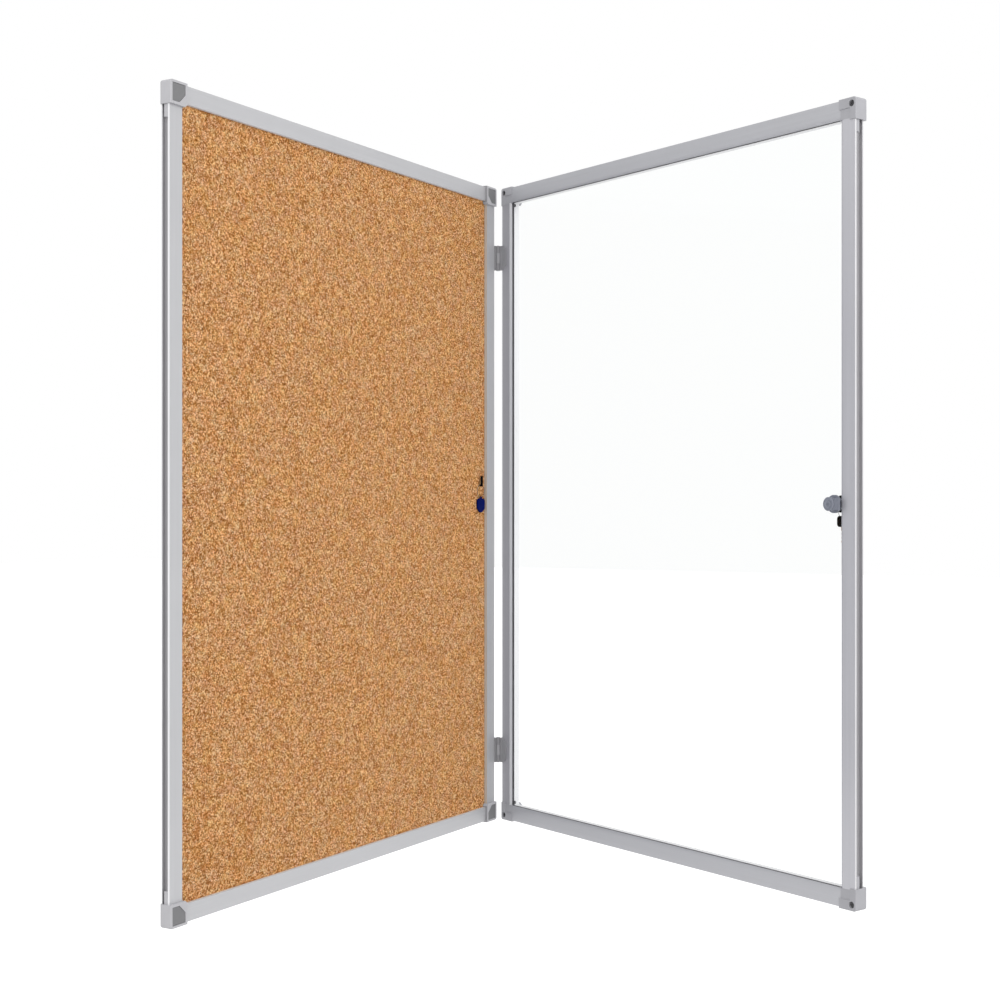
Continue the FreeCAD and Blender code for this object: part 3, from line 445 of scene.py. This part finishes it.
def make_handling_marks():
    """Faint smudges and short rubs, where hands and boxes have touched a surface."""
    tree, start, end = new_group("handling_marks", [VECTOR, ("Amount", "NodeSocketFloat", 0.5)],
                                 [("Mask", "NodeSocketFloat")])
    smudge = add_node(tree, "ShaderNodeTexNoise", {"Vector": start["Vector"], "Scale": 24.0,
                                                   "Detail": 4.0, "Distortion": 0.6}).outputs["Fac"]
    turned = add_node(tree, "ShaderNodeMapping", {"Vector": start["Vector"],
                                                  "Rotation": (0.4, 0.9, 0.3),
                                                  "Scale": (1.0, 14.0, 14.0)}).outputs["Vector"]
    rub = add_node(tree, "ShaderNodeTexNoise", {"Vector": turned, "Scale": 40.0,
                                                "Detail": 2.0}).outputs["Fac"]
    marks = math_node(tree, "ADD", spread(tree, smudge, 0.55, 0.8, 0.0, 0.7),
                      spread(tree, rub, 0.66, 0.74, 0.0, 0.5))
    tree.links.new(math_node(tree, "MULTIPLY", marks, start["Amount"]), end["Mask"])
    return tree


# Cork: granules in a metre, how much finer the small ones are, how far their outlines wander, and
# the colours of granules from dark to pale, bark, gaps, warmer clouds and batches of granules
CORK_DENSITY = 580.0
SMALL_GRANULES = 2.3
GRANULE_WANDER = 0.0024
GRANULE_COLOURS = (
    (0.12, (0.240, 0.072, 0.011)), (0.30, (0.500, 0.205, 0.060)), (0.50, (0.705, 0.342, 0.133)),
    (0.70, (0.870, 0.500, 0.238)), (0.88, (0.985, 0.690, 0.385)))
BARK_COLOUR = (0.110, 0.032, 0.002, 1.0)
GAP_COLOUR = (0.230, 0.082, 0.014, 1.0)
WARM_TINT = (0.93, 0.86, 0.74, 1.0)
BLUE_TINT, YELLOW_TINT = (0.970, 1.0, 1.095, 1.0), (1.030, 1.0, 0.890, 1.0)
GREEN_TINT, PINK_TINT = (0.985, 1.022, 0.985, 1.0), (1.015, 0.978, 1.015, 1.0)


def make_cork_granules():
    """Pressed cork: tan granules of two sizes, dark bark specks and fine gaps between them."""
    tree, start, end = new_group("cork_granules",
                                 [VECTOR, ("Density", "NodeSocketFloat", CORK_DENSITY)],
                                 [("Color", "NodeSocketColor"), ("Height", "NodeSocketFloat"),
                                  ("Roughness", "NodeSocketFloat")])
    wobble = add_node(tree, "ShaderNodeTexNoise", {"Vector": start["Vector"], "Scale": 360.0,
                                                   "Detail": 2.0}).outputs["Color"]
    centred = add_node(tree, "ShaderNodeVectorMath", {0: wobble, 1: (0.5, 0.5, 0.5)},
                       operation="SUBTRACT").outputs[0]
    push = add_node(tree, "ShaderNodeVectorMath", {0: centred, 1: (GRANULE_WANDER,) * 3},
                    operation="MULTIPLY").outputs[0]
    place = add_node(tree, "ShaderNodeVectorMath", {0: start["Vector"], 1: push},
                     operation="ADD").outputs[0]

    def cells(scale_factor, feature="F1", output="Color"):
        scale = math_node(tree, "MULTIPLY", start["Density"], scale_factor)
        return add_node(tree, "ShaderNodeTexVoronoi", {"Vector": place, "Scale": scale},
                        feature=feature).outputs[output]

    big = add_node(tree, "ShaderNodeSeparateColor", {0: cells(1.0)}).outputs
    small = add_node(tree, "ShaderNodeSeparateColor", {0: cells(SMALL_GRANULES)}).outputs
    gap = cells(1.0, "DISTANCE_TO_EDGE", "Distance")
    granule = math_node(tree, "ADD", math_node(tree, "MULTIPLY", big[0], 0.75),
                        math_node(tree, "MULTIPLY", small[0], 0.25))
    base = colour_steps(tree, granule, GRANULE_COLOURS)
    fleck = math_node(tree, "ADD", math_node(tree, "MULTIPLY", small[1], 0.7),
                      math_node(tree, "MULTIPLY", big[2], 0.3))
    specked = mix_colour(tree, spread(tree, fleck, 0.76, 0.82, 0.0, 0.95), base, BARK_COLOUR)
    seamed = mix_colour(tree, spread(tree, gap, 0.0, 0.07, 0.55, 0.0), specked, GAP_COLOUR)
    cloud = add_node(tree, "ShaderNodeTexNoise", {"Vector": start["Vector"], "Scale": 22.0,
                                                  "Detail": 3.0}).outputs["Fac"]
    warm = spread(tree, cloud, 0.3, 0.7, 0.0, 0.45)
    tinted = mix_colour(tree, warm, seamed, WARM_TINT, "MULTIPLY")
    patches = add_node(tree, "ShaderNodeTexNoise", {"Vector": start["Vector"], "Scale": 75.0,
                                                    "Detail": 1.0}).outputs["Color"]
    batches = add_node(tree, "ShaderNodeSeparateColor", {0: patches}).outputs
    for batch, tints in zip(batches, ((BLUE_TINT, YELLOW_TINT), (GREEN_TINT, PINK_TINT))):
        tint = mix_colour(tree, spread(tree, batch, 0.36, 0.64), *tints)
        tinted = mix_colour(tree, 1.0, tinted, tint, "MULTIPLY")
    tree.links.new(tinted, end["Color"])
    level = math_node(tree, "ADD", spread(tree, gap, 0.0, 0.14, 0.0, 0.6),
                      math_node(tree, "MULTIPLY", small[2], 0.4))
    tree.links.new(level, end["Height"])
    tree.links.new(spread(tree, granule, 0.0, 1.0, 0.78, 0.92), end["Roughness"])
    return tree


DRAWN_LINES = make_drawn_lines()
FINE_GRAIN = make_fine_grain()
HANDLING_MARKS = make_handling_marks()
CORK_GRANULES = make_cork_granules()


def new_material(name, turn=(0.0, 0.0, 0.0)):
    """A material with its shader and its object coordinates, turned where a pattern needs it."""
    material = bpy.data.materials.new(name)
    material.use_nodes = True
    tree = material.node_tree
    shader = tree.nodes["Principled BSDF"]
    place = add_node(tree, "ShaderNodeTexCoord").outputs["Object"]
    if any(turn):
        place = add_node(tree, "ShaderNodeMapping", {"Vector": place,
                                                     "Rotation": turn}).outputs["Vector"]
    return material, tree, shader, place


def bump(tree, shader, height, distance, strength):
    """Let a height raise the surface of a shader."""
    node = add_node(tree, "ShaderNodeBump", {"Height": height, "Distance": distance,
                                             "Strength": strength})
    tree.links.new(node.outputs["Normal"], shader.inputs["Normal"])


def anodised_aluminium(name, turn, colour):
    """Satin anodised bar metal with die lines along X after the turn."""
    material, tree, shader, place = new_material(name, turn)
    lines = use_group(tree, DRAWN_LINES, {"Vector": place, "Fineness": 1500.0})
    marks = use_group(tree, HANDLING_MARKS, {"Vector": place, "Amount": 0.35})
    tree.links.new(shade_by(tree, colour, lines["Tone"], 0.05), shader.inputs["Base Color"])
    rough = math_node(tree, "ADD", spread(tree, lines["Tone"], 0.0, 1.0, 0.44, 0.54),
                      math_node(tree, "MULTIPLY", marks["Mask"], 0.12))
    tree.links.new(rough, shader.inputs["Roughness"])
    shader.inputs["Metallic"].default_value = 0.4
    bump(tree, shader, lines["Height"], 0.04 * MM, 0.5)
    return material


def moulded(name, colour, roughness, size=1600.0, tone=0.05, depth=0.05 * MM, metallic=0.0, gloss=0.5):
    """Moulded plastic or cast metal: an even colour with fine grain and faint marks."""
    material, tree, shader, place = new_material(name)
    grain = use_group(tree, FINE_GRAIN, {"Vector": place, "Size": size})
    marks = use_group(tree, HANDLING_MARKS, {"Vector": place, "Amount": 0.5})
    tree.links.new(shade_by(tree, colour, grain["Tone"], tone), shader.inputs["Base Color"])
    even = spread(tree, grain["Tone"], 0.0, 1.0, roughness - 0.05, roughness + 0.05)
    rough = math_node(tree, "ADD", even, math_node(tree, "MULTIPLY", marks["Mask"], 0.15))
    tree.links.new(rough, shader.inputs["Roughness"])
    shader.inputs["Metallic"].default_value = metallic
    shader.inputs["Specular IOR Level"].default_value = gloss
    bump(tree, shader, grain["Height"], depth, 0.6)
    return material


def pressed_cork():
    """Pressed cork, which throws little of its colour on the bars beside it or into their gloss."""
    material, tree, shader, place = new_material("pressed_cork")
    cork = use_group(tree, CORK_GRANULES, {"Vector": place, "Density": CORK_DENSITY})
    path = add_node(tree, "ShaderNodeLightPath").outputs
    colour = mix_colour(tree, path["Is Diffuse Ray"], cork["Color"], CORK_BOUNCE)
    mirrored = math_node(tree, "GREATER_THAN", math_node(tree, "SUBTRACT", path["Is Glossy Ray"],
                                                         path["Is Transmission Ray"]), 0.5)
    colour = mix_colour(tree, mirrored, colour, CORK_GLOSS)
    tree.links.new(colour, shader.inputs["Base Color"])
    tree.links.new(cork["Roughness"], shader.inputs["Roughness"])
    shader.inputs["Specular IOR Level"].default_value = 0.12
    bump(tree, shader, cork["Height"], 0.4 * MM, 0.6)
    return material


def hardboard():
    """Brown pressed fibre with short pale fibres in its face."""
    material, tree, shader, place = new_material("hardboard")
    grain = use_group(tree, FINE_GRAIN, {"Vector": place, "Size": 700.0})
    fibre_place = add_node(tree, "ShaderNodeMapping", {"Vector": place, "Rotation": (0.0, 0.6, 0.0),
                                                       "Scale": (1.0, 1.0, 7.0)}).outputs["Vector"]
    fibres = add_node(tree, "ShaderNodeTexNoise", {"Vector": fibre_place, "Scale": 220.0,
                                                   "Detail": 4.0, "Distortion": 1.5}).outputs["Fac"]
    base = shade_by(tree, BOARD_COLOUR, grain["Tone"], 0.15)
    pale = spread(tree, fibres, 0.60, 0.72, 0.0, 0.5)
    tree.links.new(mix_colour(tree, pale, base, FIBRE_COLOUR), shader.inputs["Base Color"])
    tree.links.new(spread(tree, grain["Tone"], 0.0, 1.0, 0.55, 0.70), shader.inputs["Roughness"])
    bump(tree, shader, fibres, 0.08 * MM, 0.5)
    return material


def clear_sheet():
    """The clear pane, with faint wipe marks in its gloss, which lets the light through to the cork."""
    material, tree, shader, place = new_material("clear_sheet")
    marks = use_group(tree, HANDLING_MARKS, {"Vector": place, "Amount": 0.3})
    tree.links.new(spread(tree, marks["Mask"], 0.0, 1.0, 0.0, 0.05), shader.inputs["Roughness"])
    shader.inputs["Base Color"].default_value = PANE_TINT
    shader.inputs["Transmission Weight"].default_value = 1.0
    shader.inputs["IOR"].default_value = PANE_IOR
    open_way = add_node(tree, "ShaderNodeBsdfTransparent").outputs[0]
    path = add_node(tree, "ShaderNodeLightPath").outputs
    share = math_node(tree, "MAXIMUM", path["Is Shadow Ray"], path["Is Diffuse Ray"])
    mixed = add_node(tree, "ShaderNodeMixShader", {0: share, 1: shader.outputs[0], 2: open_way})
    tree.links.new(mixed.outputs[0], tree.nodes["Material Output"].inputs["Surface"])
    return material


ALUMINIUM = (0.540, 0.540, 0.556)
# Painted shade: the door's rails get a darker, cooler copy of the bar metal, for the shade on the door and to
# cancel the cork's warm bounce light
DOOR_SHADED_ALUMINIUM = (0.520, 0.522, 0.548)
# Painted light: the door's free stile gets a lighter, cooler copy of the bar metal, for the light that falls on it
FREE_LIT_ALUMINIUM = (0.558, 0.555, 0.588)
# Painted shade: the door's hinge stile gets a darker copy of the bar metal, for the shade near the hinge
HINGE_SHADED_ALUMINIUM = (0.447, 0.440, 0.470)
# Painted shade: the grooves in the bars get a darker copy of the bar metal, for the shade deep inside the groove
GROOVE_SHADE_TONE = (0.440, 0.434, 0.450)
# Painted highlights: lighter copies of the bar metal on the stiles' flange edges, on the hinge stile's lip slope
# and on the door bars' faces seen behind the pane; the free stile's edges get the dimmer one
EDGE_HIGHLIGHT_TONE = (0.840, 0.840, 0.855)
DOOR_EDGE_HIGHLIGHT_TONE = (0.720, 0.715, 0.730)
# Painted reflection: a warm copy of the bar metal on the stiles' lip edges beside the cork, and a lighter warm one
# on the back rails' lip edges, which is also painted light that lifts the shade under the lip
CORK_SIDE_REFLECTION = (0.660, 0.530, 0.420)
CORK_RAIL_SIDE_LIGHT = (0.930, 0.790, 0.690)
CORK_BOUNCE = (0.220, 0.220, 0.240, 1.0)
CORK_GLOSS = (0.500, 0.520, 0.570, 1.0)
BOARD_COLOUR = (0.235, 0.120, 0.060)
FIBRE_COLOUR = (0.420, 0.260, 0.150, 1.0)
PANE_TINT = (0.985, 0.995, 0.992, 1.0)
PANE_IOR = 1.12
FINE_SIZE = 2400.0
NICKEL_SIZE = 2200.0
FINE_DEPTH = 0.02 * MM
ACROSS = (0.0, 0.0, 0.0)
UP = (0.0, math.pi / 2, 0.0)
ALONG_DOOR = (0.0, 0.0, -DOOR_ANGLE)
METAL_UP = anodised_aluminium("aluminium_stiles", UP, ALUMINIUM)
METAL_ALONG = anodised_aluminium("aluminium_back_rails", ACROSS, ALUMINIUM)
METAL_FREE_LIT_UP = anodised_aluminium("aluminium_free_stile_painted_light", UP, FREE_LIT_ALUMINIUM)
METAL_HINGE_SHADED_UP = anodised_aluminium("aluminium_hinge_stile_painted_shade", UP, HINGE_SHADED_ALUMINIUM)
METAL_DOOR_SHADED = anodised_aluminium("aluminium_door_rails_painted_shade", ALONG_DOOR, DOOR_SHADED_ALUMINIUM)
HIGHLIGHT_UP = anodised_aluminium("aluminium_stile_highlights", UP, EDGE_HIGHLIGHT_TONE)
HIGHLIGHT_ALONG = anodised_aluminium("aluminium_back_rail_highlights", ACROSS, EDGE_HIGHLIGHT_TONE)
HIGHLIGHT_DOOR = anodised_aluminium("aluminium_door_rail_highlights", ALONG_DOOR, EDGE_HIGHLIGHT_TONE)
HIGHLIGHT_DOOR_UP = anodised_aluminium("aluminium_door_stile_highlights", UP, DOOR_EDGE_HIGHLIGHT_TONE)
CORK_SIDE_REFLECTION_UP = anodised_aluminium("aluminium_cork_reflection_up", UP, CORK_SIDE_REFLECTION)
CORK_SIDE_REFLECTION_ALONG = anodised_aluminium("aluminium_cork_reflection_along", ACROSS, CORK_RAIL_SIDE_LIGHT)
GROOVE_SHADE_UP = anodised_aluminium("aluminium_stile_groove_shade", UP, GROOVE_SHADE_TONE)
GROOVE_SHADE_ALONG = anodised_aluminium("aluminium_back_rail_groove_shade", ACROSS, GROOVE_SHADE_TONE)
GROOVE_SHADE_DOOR = anodised_aluminium("aluminium_door_rail_groove_shade", ALONG_DOOR, GROOVE_SHADE_TONE)
CORNER_PLASTIC = moulded("corner_plastic", (0.510, 0.506, 0.528), 0.50)
# Painted shade: the door's corners get a darker copy of the corner plastic, to make up for how the light falls on
# them
DOOR_CORNER_SHADED_PLASTIC = moulded("door_corner_plastic", (0.435, 0.434, 0.460), 0.50)
# Painted shade: a darker copy of the corner plastic on the back corners' sides next to the rail ends
CORNER_SIDE_SHADE = moulded("corner_side_painted_shade", (0.290, 0.286, 0.300), 0.50)
# Painted light: the door corners' faces seen through the pane get a near-white copy of the corner plastic
PAINTED_LIGHT_PLASTIC = moulded("door_corner_painted_light_behind_pane", (0.900, 0.900, 0.910), 0.50)
COVER_PLASTIC = moulded("cover_plastic", (0.200, 0.200, 0.206), 0.55)
HINGE_METAL = moulded("hinge_door_metal", (0.350, 0.347, 0.362), 0.60, metallic=0.15)
# Painted shade: the hinges' frame halves get a darker copy of the hinge metal, for the shade in the gap beside the
# back frame
HINGE_FRAME_SHADED_METAL = moulded("hinge_frame_metal_painted_shade", (0.262, 0.258, 0.268), 0.60, metallic=0.15)
DARK_STEEL = moulded("dark_screw_steel", (0.110, 0.110, 0.115), 0.40, size=FINE_SIZE, metallic=0.7)
# Painted shade: the spare key's ring is near black, for the shade it lies in against the cork
SHADED_RING_STEEL = moulded("spare_ring_painted_shade", (0.070, 0.070, 0.090), 0.45,
                    size=FINE_SIZE, metallic=0.4, depth=FINE_DEPTH)
ZINC = moulded("zinc_plating", (0.560, 0.565, 0.590), 0.30,
               size=FINE_SIZE, metallic=0.9, depth=FINE_DEPTH)
NICKEL = moulded("satin_nickel", (0.262, 0.275, 0.325), 0.45,
                 size=NICKEL_SIZE, metallic=0.5, depth=FINE_DEPTH)
KEY_STEEL = moulded("key_steel", (0.620, 0.610, 0.590), 0.28,
                    size=FINE_SIZE, metallic=0.95, depth=FINE_DEPTH)
RUBBER = moulded("black_rubber", (0.120, 0.120, 0.128), 0.75, tone=0.15)
BLACK = moulded("black_plastic", (0.003, 0.003, 0.003), 0.50, tone=0.2, depth=FINE_DEPTH, gloss=0.02)
BLUE = moulded("blue_plastic", (0.001, 0.006, 0.095), 0.55, tone=0.1, depth=FINE_DEPTH, gloss=0.04)
CORK = pressed_cork()
BOARD = hardboard()
CLEAR = clear_sheet()

CORNERS = ("top_left", "top_right", "bottom_left", "bottom_right")


def bar_metals(node):
    """The metals of a bar: its faces, the painted shade in its groove, its painted highlights on edges, and its
    painted cork reflection beside the cork or, on the door, its painted light behind the pane.
    """
    if node == "door_free_stile":
        return METAL_FREE_LIT_UP, GROOVE_SHADE_UP, HIGHLIGHT_DOOR_UP, HIGHLIGHT_UP
    if node == "door_hinge_stile":
        return METAL_HINGE_SHADED_UP, GROOVE_SHADE_UP, HIGHLIGHT_UP, HIGHLIGHT_UP
    if node.endswith("stile"):
        return METAL_UP, GROOVE_SHADE_UP, HIGHLIGHT_UP, CORK_SIDE_REFLECTION_UP
    if node.startswith("door"):
        return METAL_DOOR_SHADED, GROOVE_SHADE_DOOR, HIGHLIGHT_DOOR, HIGHLIGHT_DOOR
    return METAL_ALONG, GROOVE_SHADE_ALONG, HIGHLIGHT_ALONG, CORK_SIDE_REFLECTION_ALONG


def metal_slot(node, centre):
    """Which of a bar's metals a face has, from where its middle lies in the bar's section."""
    on_door = node.startswith("door")
    place = (OPENED.inverted() @ centre if on_door else centre) / MM
    inward = HALF_WIDTH - abs(place.x) if node.endswith("stile") else HALF_HEIGHT - abs(place.z)
    depth, level = (DOOR_DEPTH, DOOR_INNER - place.y) if on_door else (BACK_DEPTH, place.y + BACK_DEPTH)
    near, far = GROOVE_WALL - FINE_SLACK, depth - GROOVE_WALL + FINE_SLACK
    # Faces inside the groove get the painted groove shade
    if GROOVE_START < inward < GROOVE_DEPTH + SLACK and near < level < far:
        return 1
    # The stiles' outer flange edges get a painted highlight
    if node.endswith("stile") and inward < SLACK and min(level, depth - level) < GROOVE_WALL:
        return 2
    # The door bars' faces seen through the pane get painted light that makes them nearly white
    if on_door and inward > DOOR_FACE - SLACK and level > PANE_OUTSIDE + FINE_SLACK:
        return 3
    on_slope = inward > DOOR_FACE - LIP_SLOPE_WIDTH and SLACK < level < LIP_SLOPE_DROP - SLACK
    # The hinge stile's lip slope gets a painted highlight
    if node == "door_hinge_stile" and on_slope:
        return 2
    # The lip's inner side beside the cork gets the painted cork reflection
    if not on_door and inward > BACK_FACE - SLACK and SLACK < level < CORK_LEVEL:
        return 3
    return 0


def build_bars():
    """The eight aluminium bars, with a metal for each part of their section: painted shade in the grooves, painted
    shade and light on the door, and painted highlights and cork reflections on edges.
    """
    nodes = [f"{part}_{name}" for part in ("back", "door") for name in ("top_rail", "bottom_rail")]
    nodes += ["back_left_stile", "back_right_stile", "door_hinge_stile", "door_free_stile"]
    for node in nodes:
        toned_node(node, BAR_EDGE, bar_metals(node), lambda centre: metal_slot(node, centre))


def behind_pane(centre):
    """1 where a face of a door corner is seen through the pane from the inside, which gets painted light,
    otherwise 0.
    """
    place = OPENED.inverted() @ centre / MM
    inward = sorted((HALF_WIDTH - abs(place.x), HALF_HEIGHT - abs(place.z)))
    level = DOOR_INNER - place.y
    on_edge = inward[0] > CORNER_MIDDLE and inward[1] > DOOR_FACE - SLACK
    return int(on_edge and PANE_OUTSIDE + FINE_SLACK < level < DOOR_DEPTH)


def beside_rail(centre):
    """1 where a face of a back corner is its side next to the end of a rail, which gets painted shade, otherwise
    0.
    """
    return int(HALF_WIDTH - abs(centre.x) / MM > BACK_FACE + CORNER_LAP - SLACK)


def build_corners():
    """The corner pieces, with painted shade on the door corners and on the back corners' sides, painted light on
    the door corners' faces behind the pane, and the covers of the wall screws.
    """
    softened_nodes([f"screw_cover_{c}" for c in CORNERS], CORNER_EDGE, COVER_PLASTIC)
    back_plastics = (CORNER_PLASTIC, CORNER_SIDE_SHADE)
    door_plastics = (DOOR_CORNER_SHADED_PLASTIC, PAINTED_LIGHT_PLASTIC)
    for corner in CORNERS:
        toned_node(f"back_corner_{corner}", CORNER_EDGE, back_plastics, beside_rail)
        toned_node(f"door_corner_{corner}", CORNER_EDGE, door_plastics, behind_pane)


def build_panels():
    """The cork sheet, its backing board, the pane and its seal."""
    softened_nodes(["cork_sheet"], SMALL_EDGE, CORK)
    softened_nodes(["backing_board"], SMALL_EDGE, BOARD)
    softened_nodes(["pane"], SMALL_EDGE, CLEAR)
    softened_nodes(["pane_gasket", "pane_buffers"], SMALL_EDGE, RUBBER)


def build_hinges():
    """The hinge halves, the frame halves with painted shade, their pins and their screws."""
    softened_nodes(["hinge_frame_half_upper", "hinge_frame_half_lower"], CORNER_EDGE, HINGE_FRAME_SHADED_METAL)
    softened_nodes(["hinge_door_half_upper", "hinge_door_half_lower"], CORNER_EDGE, HINGE_METAL)
    softened_nodes(["hinge_pin_upper", "hinge_pin_lower"], PIN_EDGE, ZINC, segments=3)
    softened_nodes(["hinge_frame_screws", "hinge_door_screws"], FINE_EDGE, ZINC)
    softened_nodes(["door_corner_screws"], FINE_EDGE, DARK_STEEL)


def build_cap():
    """The round cap of the lock: a low dome with a cross-head screw sunk in its middle."""
    base = centre_of("cam_cap") - THROUGH_DOOR * CAP_HEIGHT / 2
    cap = turned_piece("cap", base, THROUGH_DOOR, CAP_PROFILE)
    tip = base + THROUGH_DOOR * CAP_HEIGHT
    cut_away(cap, [block("slot", (CROSS_LENGTH, CROSS_DEPTH, CROSS_WIDTH), tip, DOOR_TURN),
                   block("slot", (CROSS_WIDTH, CROSS_DEPTH, CROSS_LENGTH), tip, DOOR_TURN)])
    smooth(cap)
    hand_over(cap, "cam_cap", NICKEL)


def build_nut():
    """The round nut that clamps the lock: a chamfered ring with spanner notches."""
    nut = worked_copy("lock_nut")
    notches = []
    for step in range(NUT_NOTCHES):
        angle = math.tau * (step + 0.5) / NUT_NOTCHES
        around = DOOR_TURN @ Matrix.Rotation(angle, 3, "Y")
        place = centre_of("lock_nut") + around @ Vector((NUT_NOTCH_RADIUS, 0.0, 0.0))
        notches.append(block("notch", NUT_NOTCH, place, around))
    cut_away(nut, notches)
    soften(nut, NUT_EDGE)
    hand_over(nut, "lock_nut", NICKEL)


def build_lock():
    """The lock's barrel, plug, cam, nut and cap."""
    softened_nodes(["lock_barrel", "lock_plug", "lock_cam"], SMALL_EDGE, NICKEL)
    build_nut()
    build_cap()


def pressed_in(node, normal, rim, depth, material):
    """A flat piece again, with both broad sides pressed in inside a rim."""
    piece = worked_copy(node)
    pick_faces(piece, lambda face: (abs(face.normal.dot(normal)) > 0.99
                                    and face.calc_area() > BROAD_SIDE))
    bpy.ops.mesh.inset(thickness=rim, depth=0.0, use_boundary=True)
    bpy.ops.mesh.inset(thickness=depth, depth=-depth, use_boundary=True)
    object_mode()
    soften(piece, PRESSED_EDGE)
    hand_over(piece, node, material)


def split_ring(name, node, radius, wire, axis, material):
    """A split ring: two turns of a thinner wire that lie side by side."""
    deselect_all()
    thin = wire / RING_TURNS
    bpy.ops.mesh.primitive_circle_add(vertices=WIRE_SIDES, radius=thin, fill_type="NGON",
                                      location=(radius, 0.0, -thin), rotation=(math.pi / 2, 0.0, 0.0))
    ring = bpy.context.object
    ring.name = name
    fix_place(ring)
    coil = ring.modifiers.new("coil", "SCREW")
    coil.angle = RING_ANGLE
    coil.screw_offset = wire * RING_ANGLE / (RING_TURNS * math.tau)
    coil.steps = RING_STEPS
    coil.render_steps = RING_STEPS
    coil.use_normal_calculate = True
    apply_all(ring)
    mend_normals(ring)
    stand_at(ring, centre_of(node), axis)
    smooth(ring, WIRE_ANGLE)
    hand_over(ring, node, material)


def build_keys():
    """The two keys on their ring, and the tag with its ring on the hook."""
    softened_nodes(["lock_key_blade", "hanging_key_blade"], FINE_EDGE, KEY_STEEL)
    for node in ("lock_key_bow", "hanging_key_bow"):
        pressed_in(node, ACROSS_DOOR, BOW_RIM, BOW_PRESS, BLACK)
    split_ring("key_ring_wire", "key_ring", RING_RADIUS, RING_WIRE, THROUGH_DOOR, ZINC)
    split_ring("spare_ring_wire", "spare_key_ring", SPARE_RING_RADIUS, SPARE_RING_WIRE,
               THROUGH_BOARD, SHADED_RING_STEEL)
    pressed_in("spare_key_tag", THROUGH_BOARD, TAG_RIM, TAG_PRESS, BLUE)
    softened_nodes(["key_hook"], SMALL_EDGE, BLACK)


# Stage: floor, world, lamps and camera

FLOOR_LEVEL = -1.5
FLOOR_REACH = 30.0
FLOOR_COLOUR = (0.80, 0.80, 0.80, 1.0)
FLOOR_GLOW = 0.6
WHITE = (1.0, 1.0, 1.0, 1.0)
WORLD_LEVEL = 0.80
LAMPS = {
    "left_lamp": {"place": (-2.6, -0.4, 1.3), "aim": (-0.2, -0.2, 0.0), "size": 1.4, "power": 16.0},
    "front_lamp": {"place": (-0.6, -3.0, 1.4), "aim": (0.0, 0.0, 0.0), "size": 1.6, "power": 28.0},
}


def seen_directly(tree):
    """One for rays that show the background: from the camera, by gloss or through the pane."""
    path = add_node(tree, "ShaderNodeLightPath").outputs
    seen = math_node(tree, "MAXIMUM", path["Is Camera Ray"], path["Is Glossy Ray"])
    return math_node(tree, "MAXIMUM", seen, path["Is Transmission Ray"])


def build_floor():
    """A wide pale floor that shows white and keeps the board's shadow."""
    deselect_all()
    bpy.ops.mesh.primitive_plane_add(size=2 * FLOOR_REACH, location=(0.0, 0.0, FLOOR_LEVEL))
    floor = bpy.context.object
    floor.name = "floor"
    material = bpy.data.materials.new("pale_floor")
    material.use_nodes = True
    tree = material.node_tree
    shader = tree.nodes["Principled BSDF"]
    shader.inputs["Base Color"].default_value = FLOOR_COLOUR
    shader.inputs["Roughness"].default_value = 0.9
    shader.inputs["Specular IOR Level"].default_value = 0.0
    shader.inputs["Emission Color"].default_value = WHITE
    glow = math_node(tree, "MULTIPLY", seen_directly(tree), FLOOR_GLOW)
    tree.links.new(glow, shader.inputs["Emission Strength"])
    floor.data.materials.append(material)


def build_world():
    """A white background over an even, softer light."""
    world = bpy.data.worlds.new("studio")
    bpy.context.scene.world = world
    world.use_nodes = True
    tree = world.node_tree
    background = tree.nodes["Background"]
    background.inputs["Color"].default_value = WHITE
    level = math_node(tree, "MAXIMUM", seen_directly(tree), WORLD_LEVEL)
    tree.links.new(level, background.inputs["Strength"])


def add_lamp(name, place, aim, size, power):
    """A soft square lamp that points at a place."""
    light = bpy.data.lights.new(name, "AREA")
    light.size = size
    light.energy = power
    lamp = bpy.data.objects.new(name, light)
    bpy.context.scene.collection.objects.link(lamp)
    lamp.location = place
    lamp.rotation_euler = (Vector(aim) - Vector(place)).to_track_quat("-Z", "Y").to_euler()


def build_lamps():
    """The studio's lamps."""
    for name, lamp in LAMPS.items():
        add_lamp(name, **lamp)


def build_camera():
    """The camera of the photograph."""
    data = bpy.data.cameras.new("camera")
    data.lens = CAMERA_LENS
    data.sensor_width = CAMERA_SENSOR
    data.shift_x, data.shift_y = CAMERA_SHIFT
    camera = bpy.data.objects.new("camera", data)
    bpy.context.scene.collection.objects.link(camera)
    camera.location = CAMERA_PLACE
    camera.rotation_euler = (math.pi / 2, 0.0, CAMERA_TURN)
    bpy.context.scene.camera = camera


build_bars()
build_corners()
build_panels()
build_hinges()
build_lock()
build_keys()
build_floor()
build_world()
build_lamps()
build_camera()
bpy.context.scene.view_settings.view_transform = "Standard"
deselect_all()
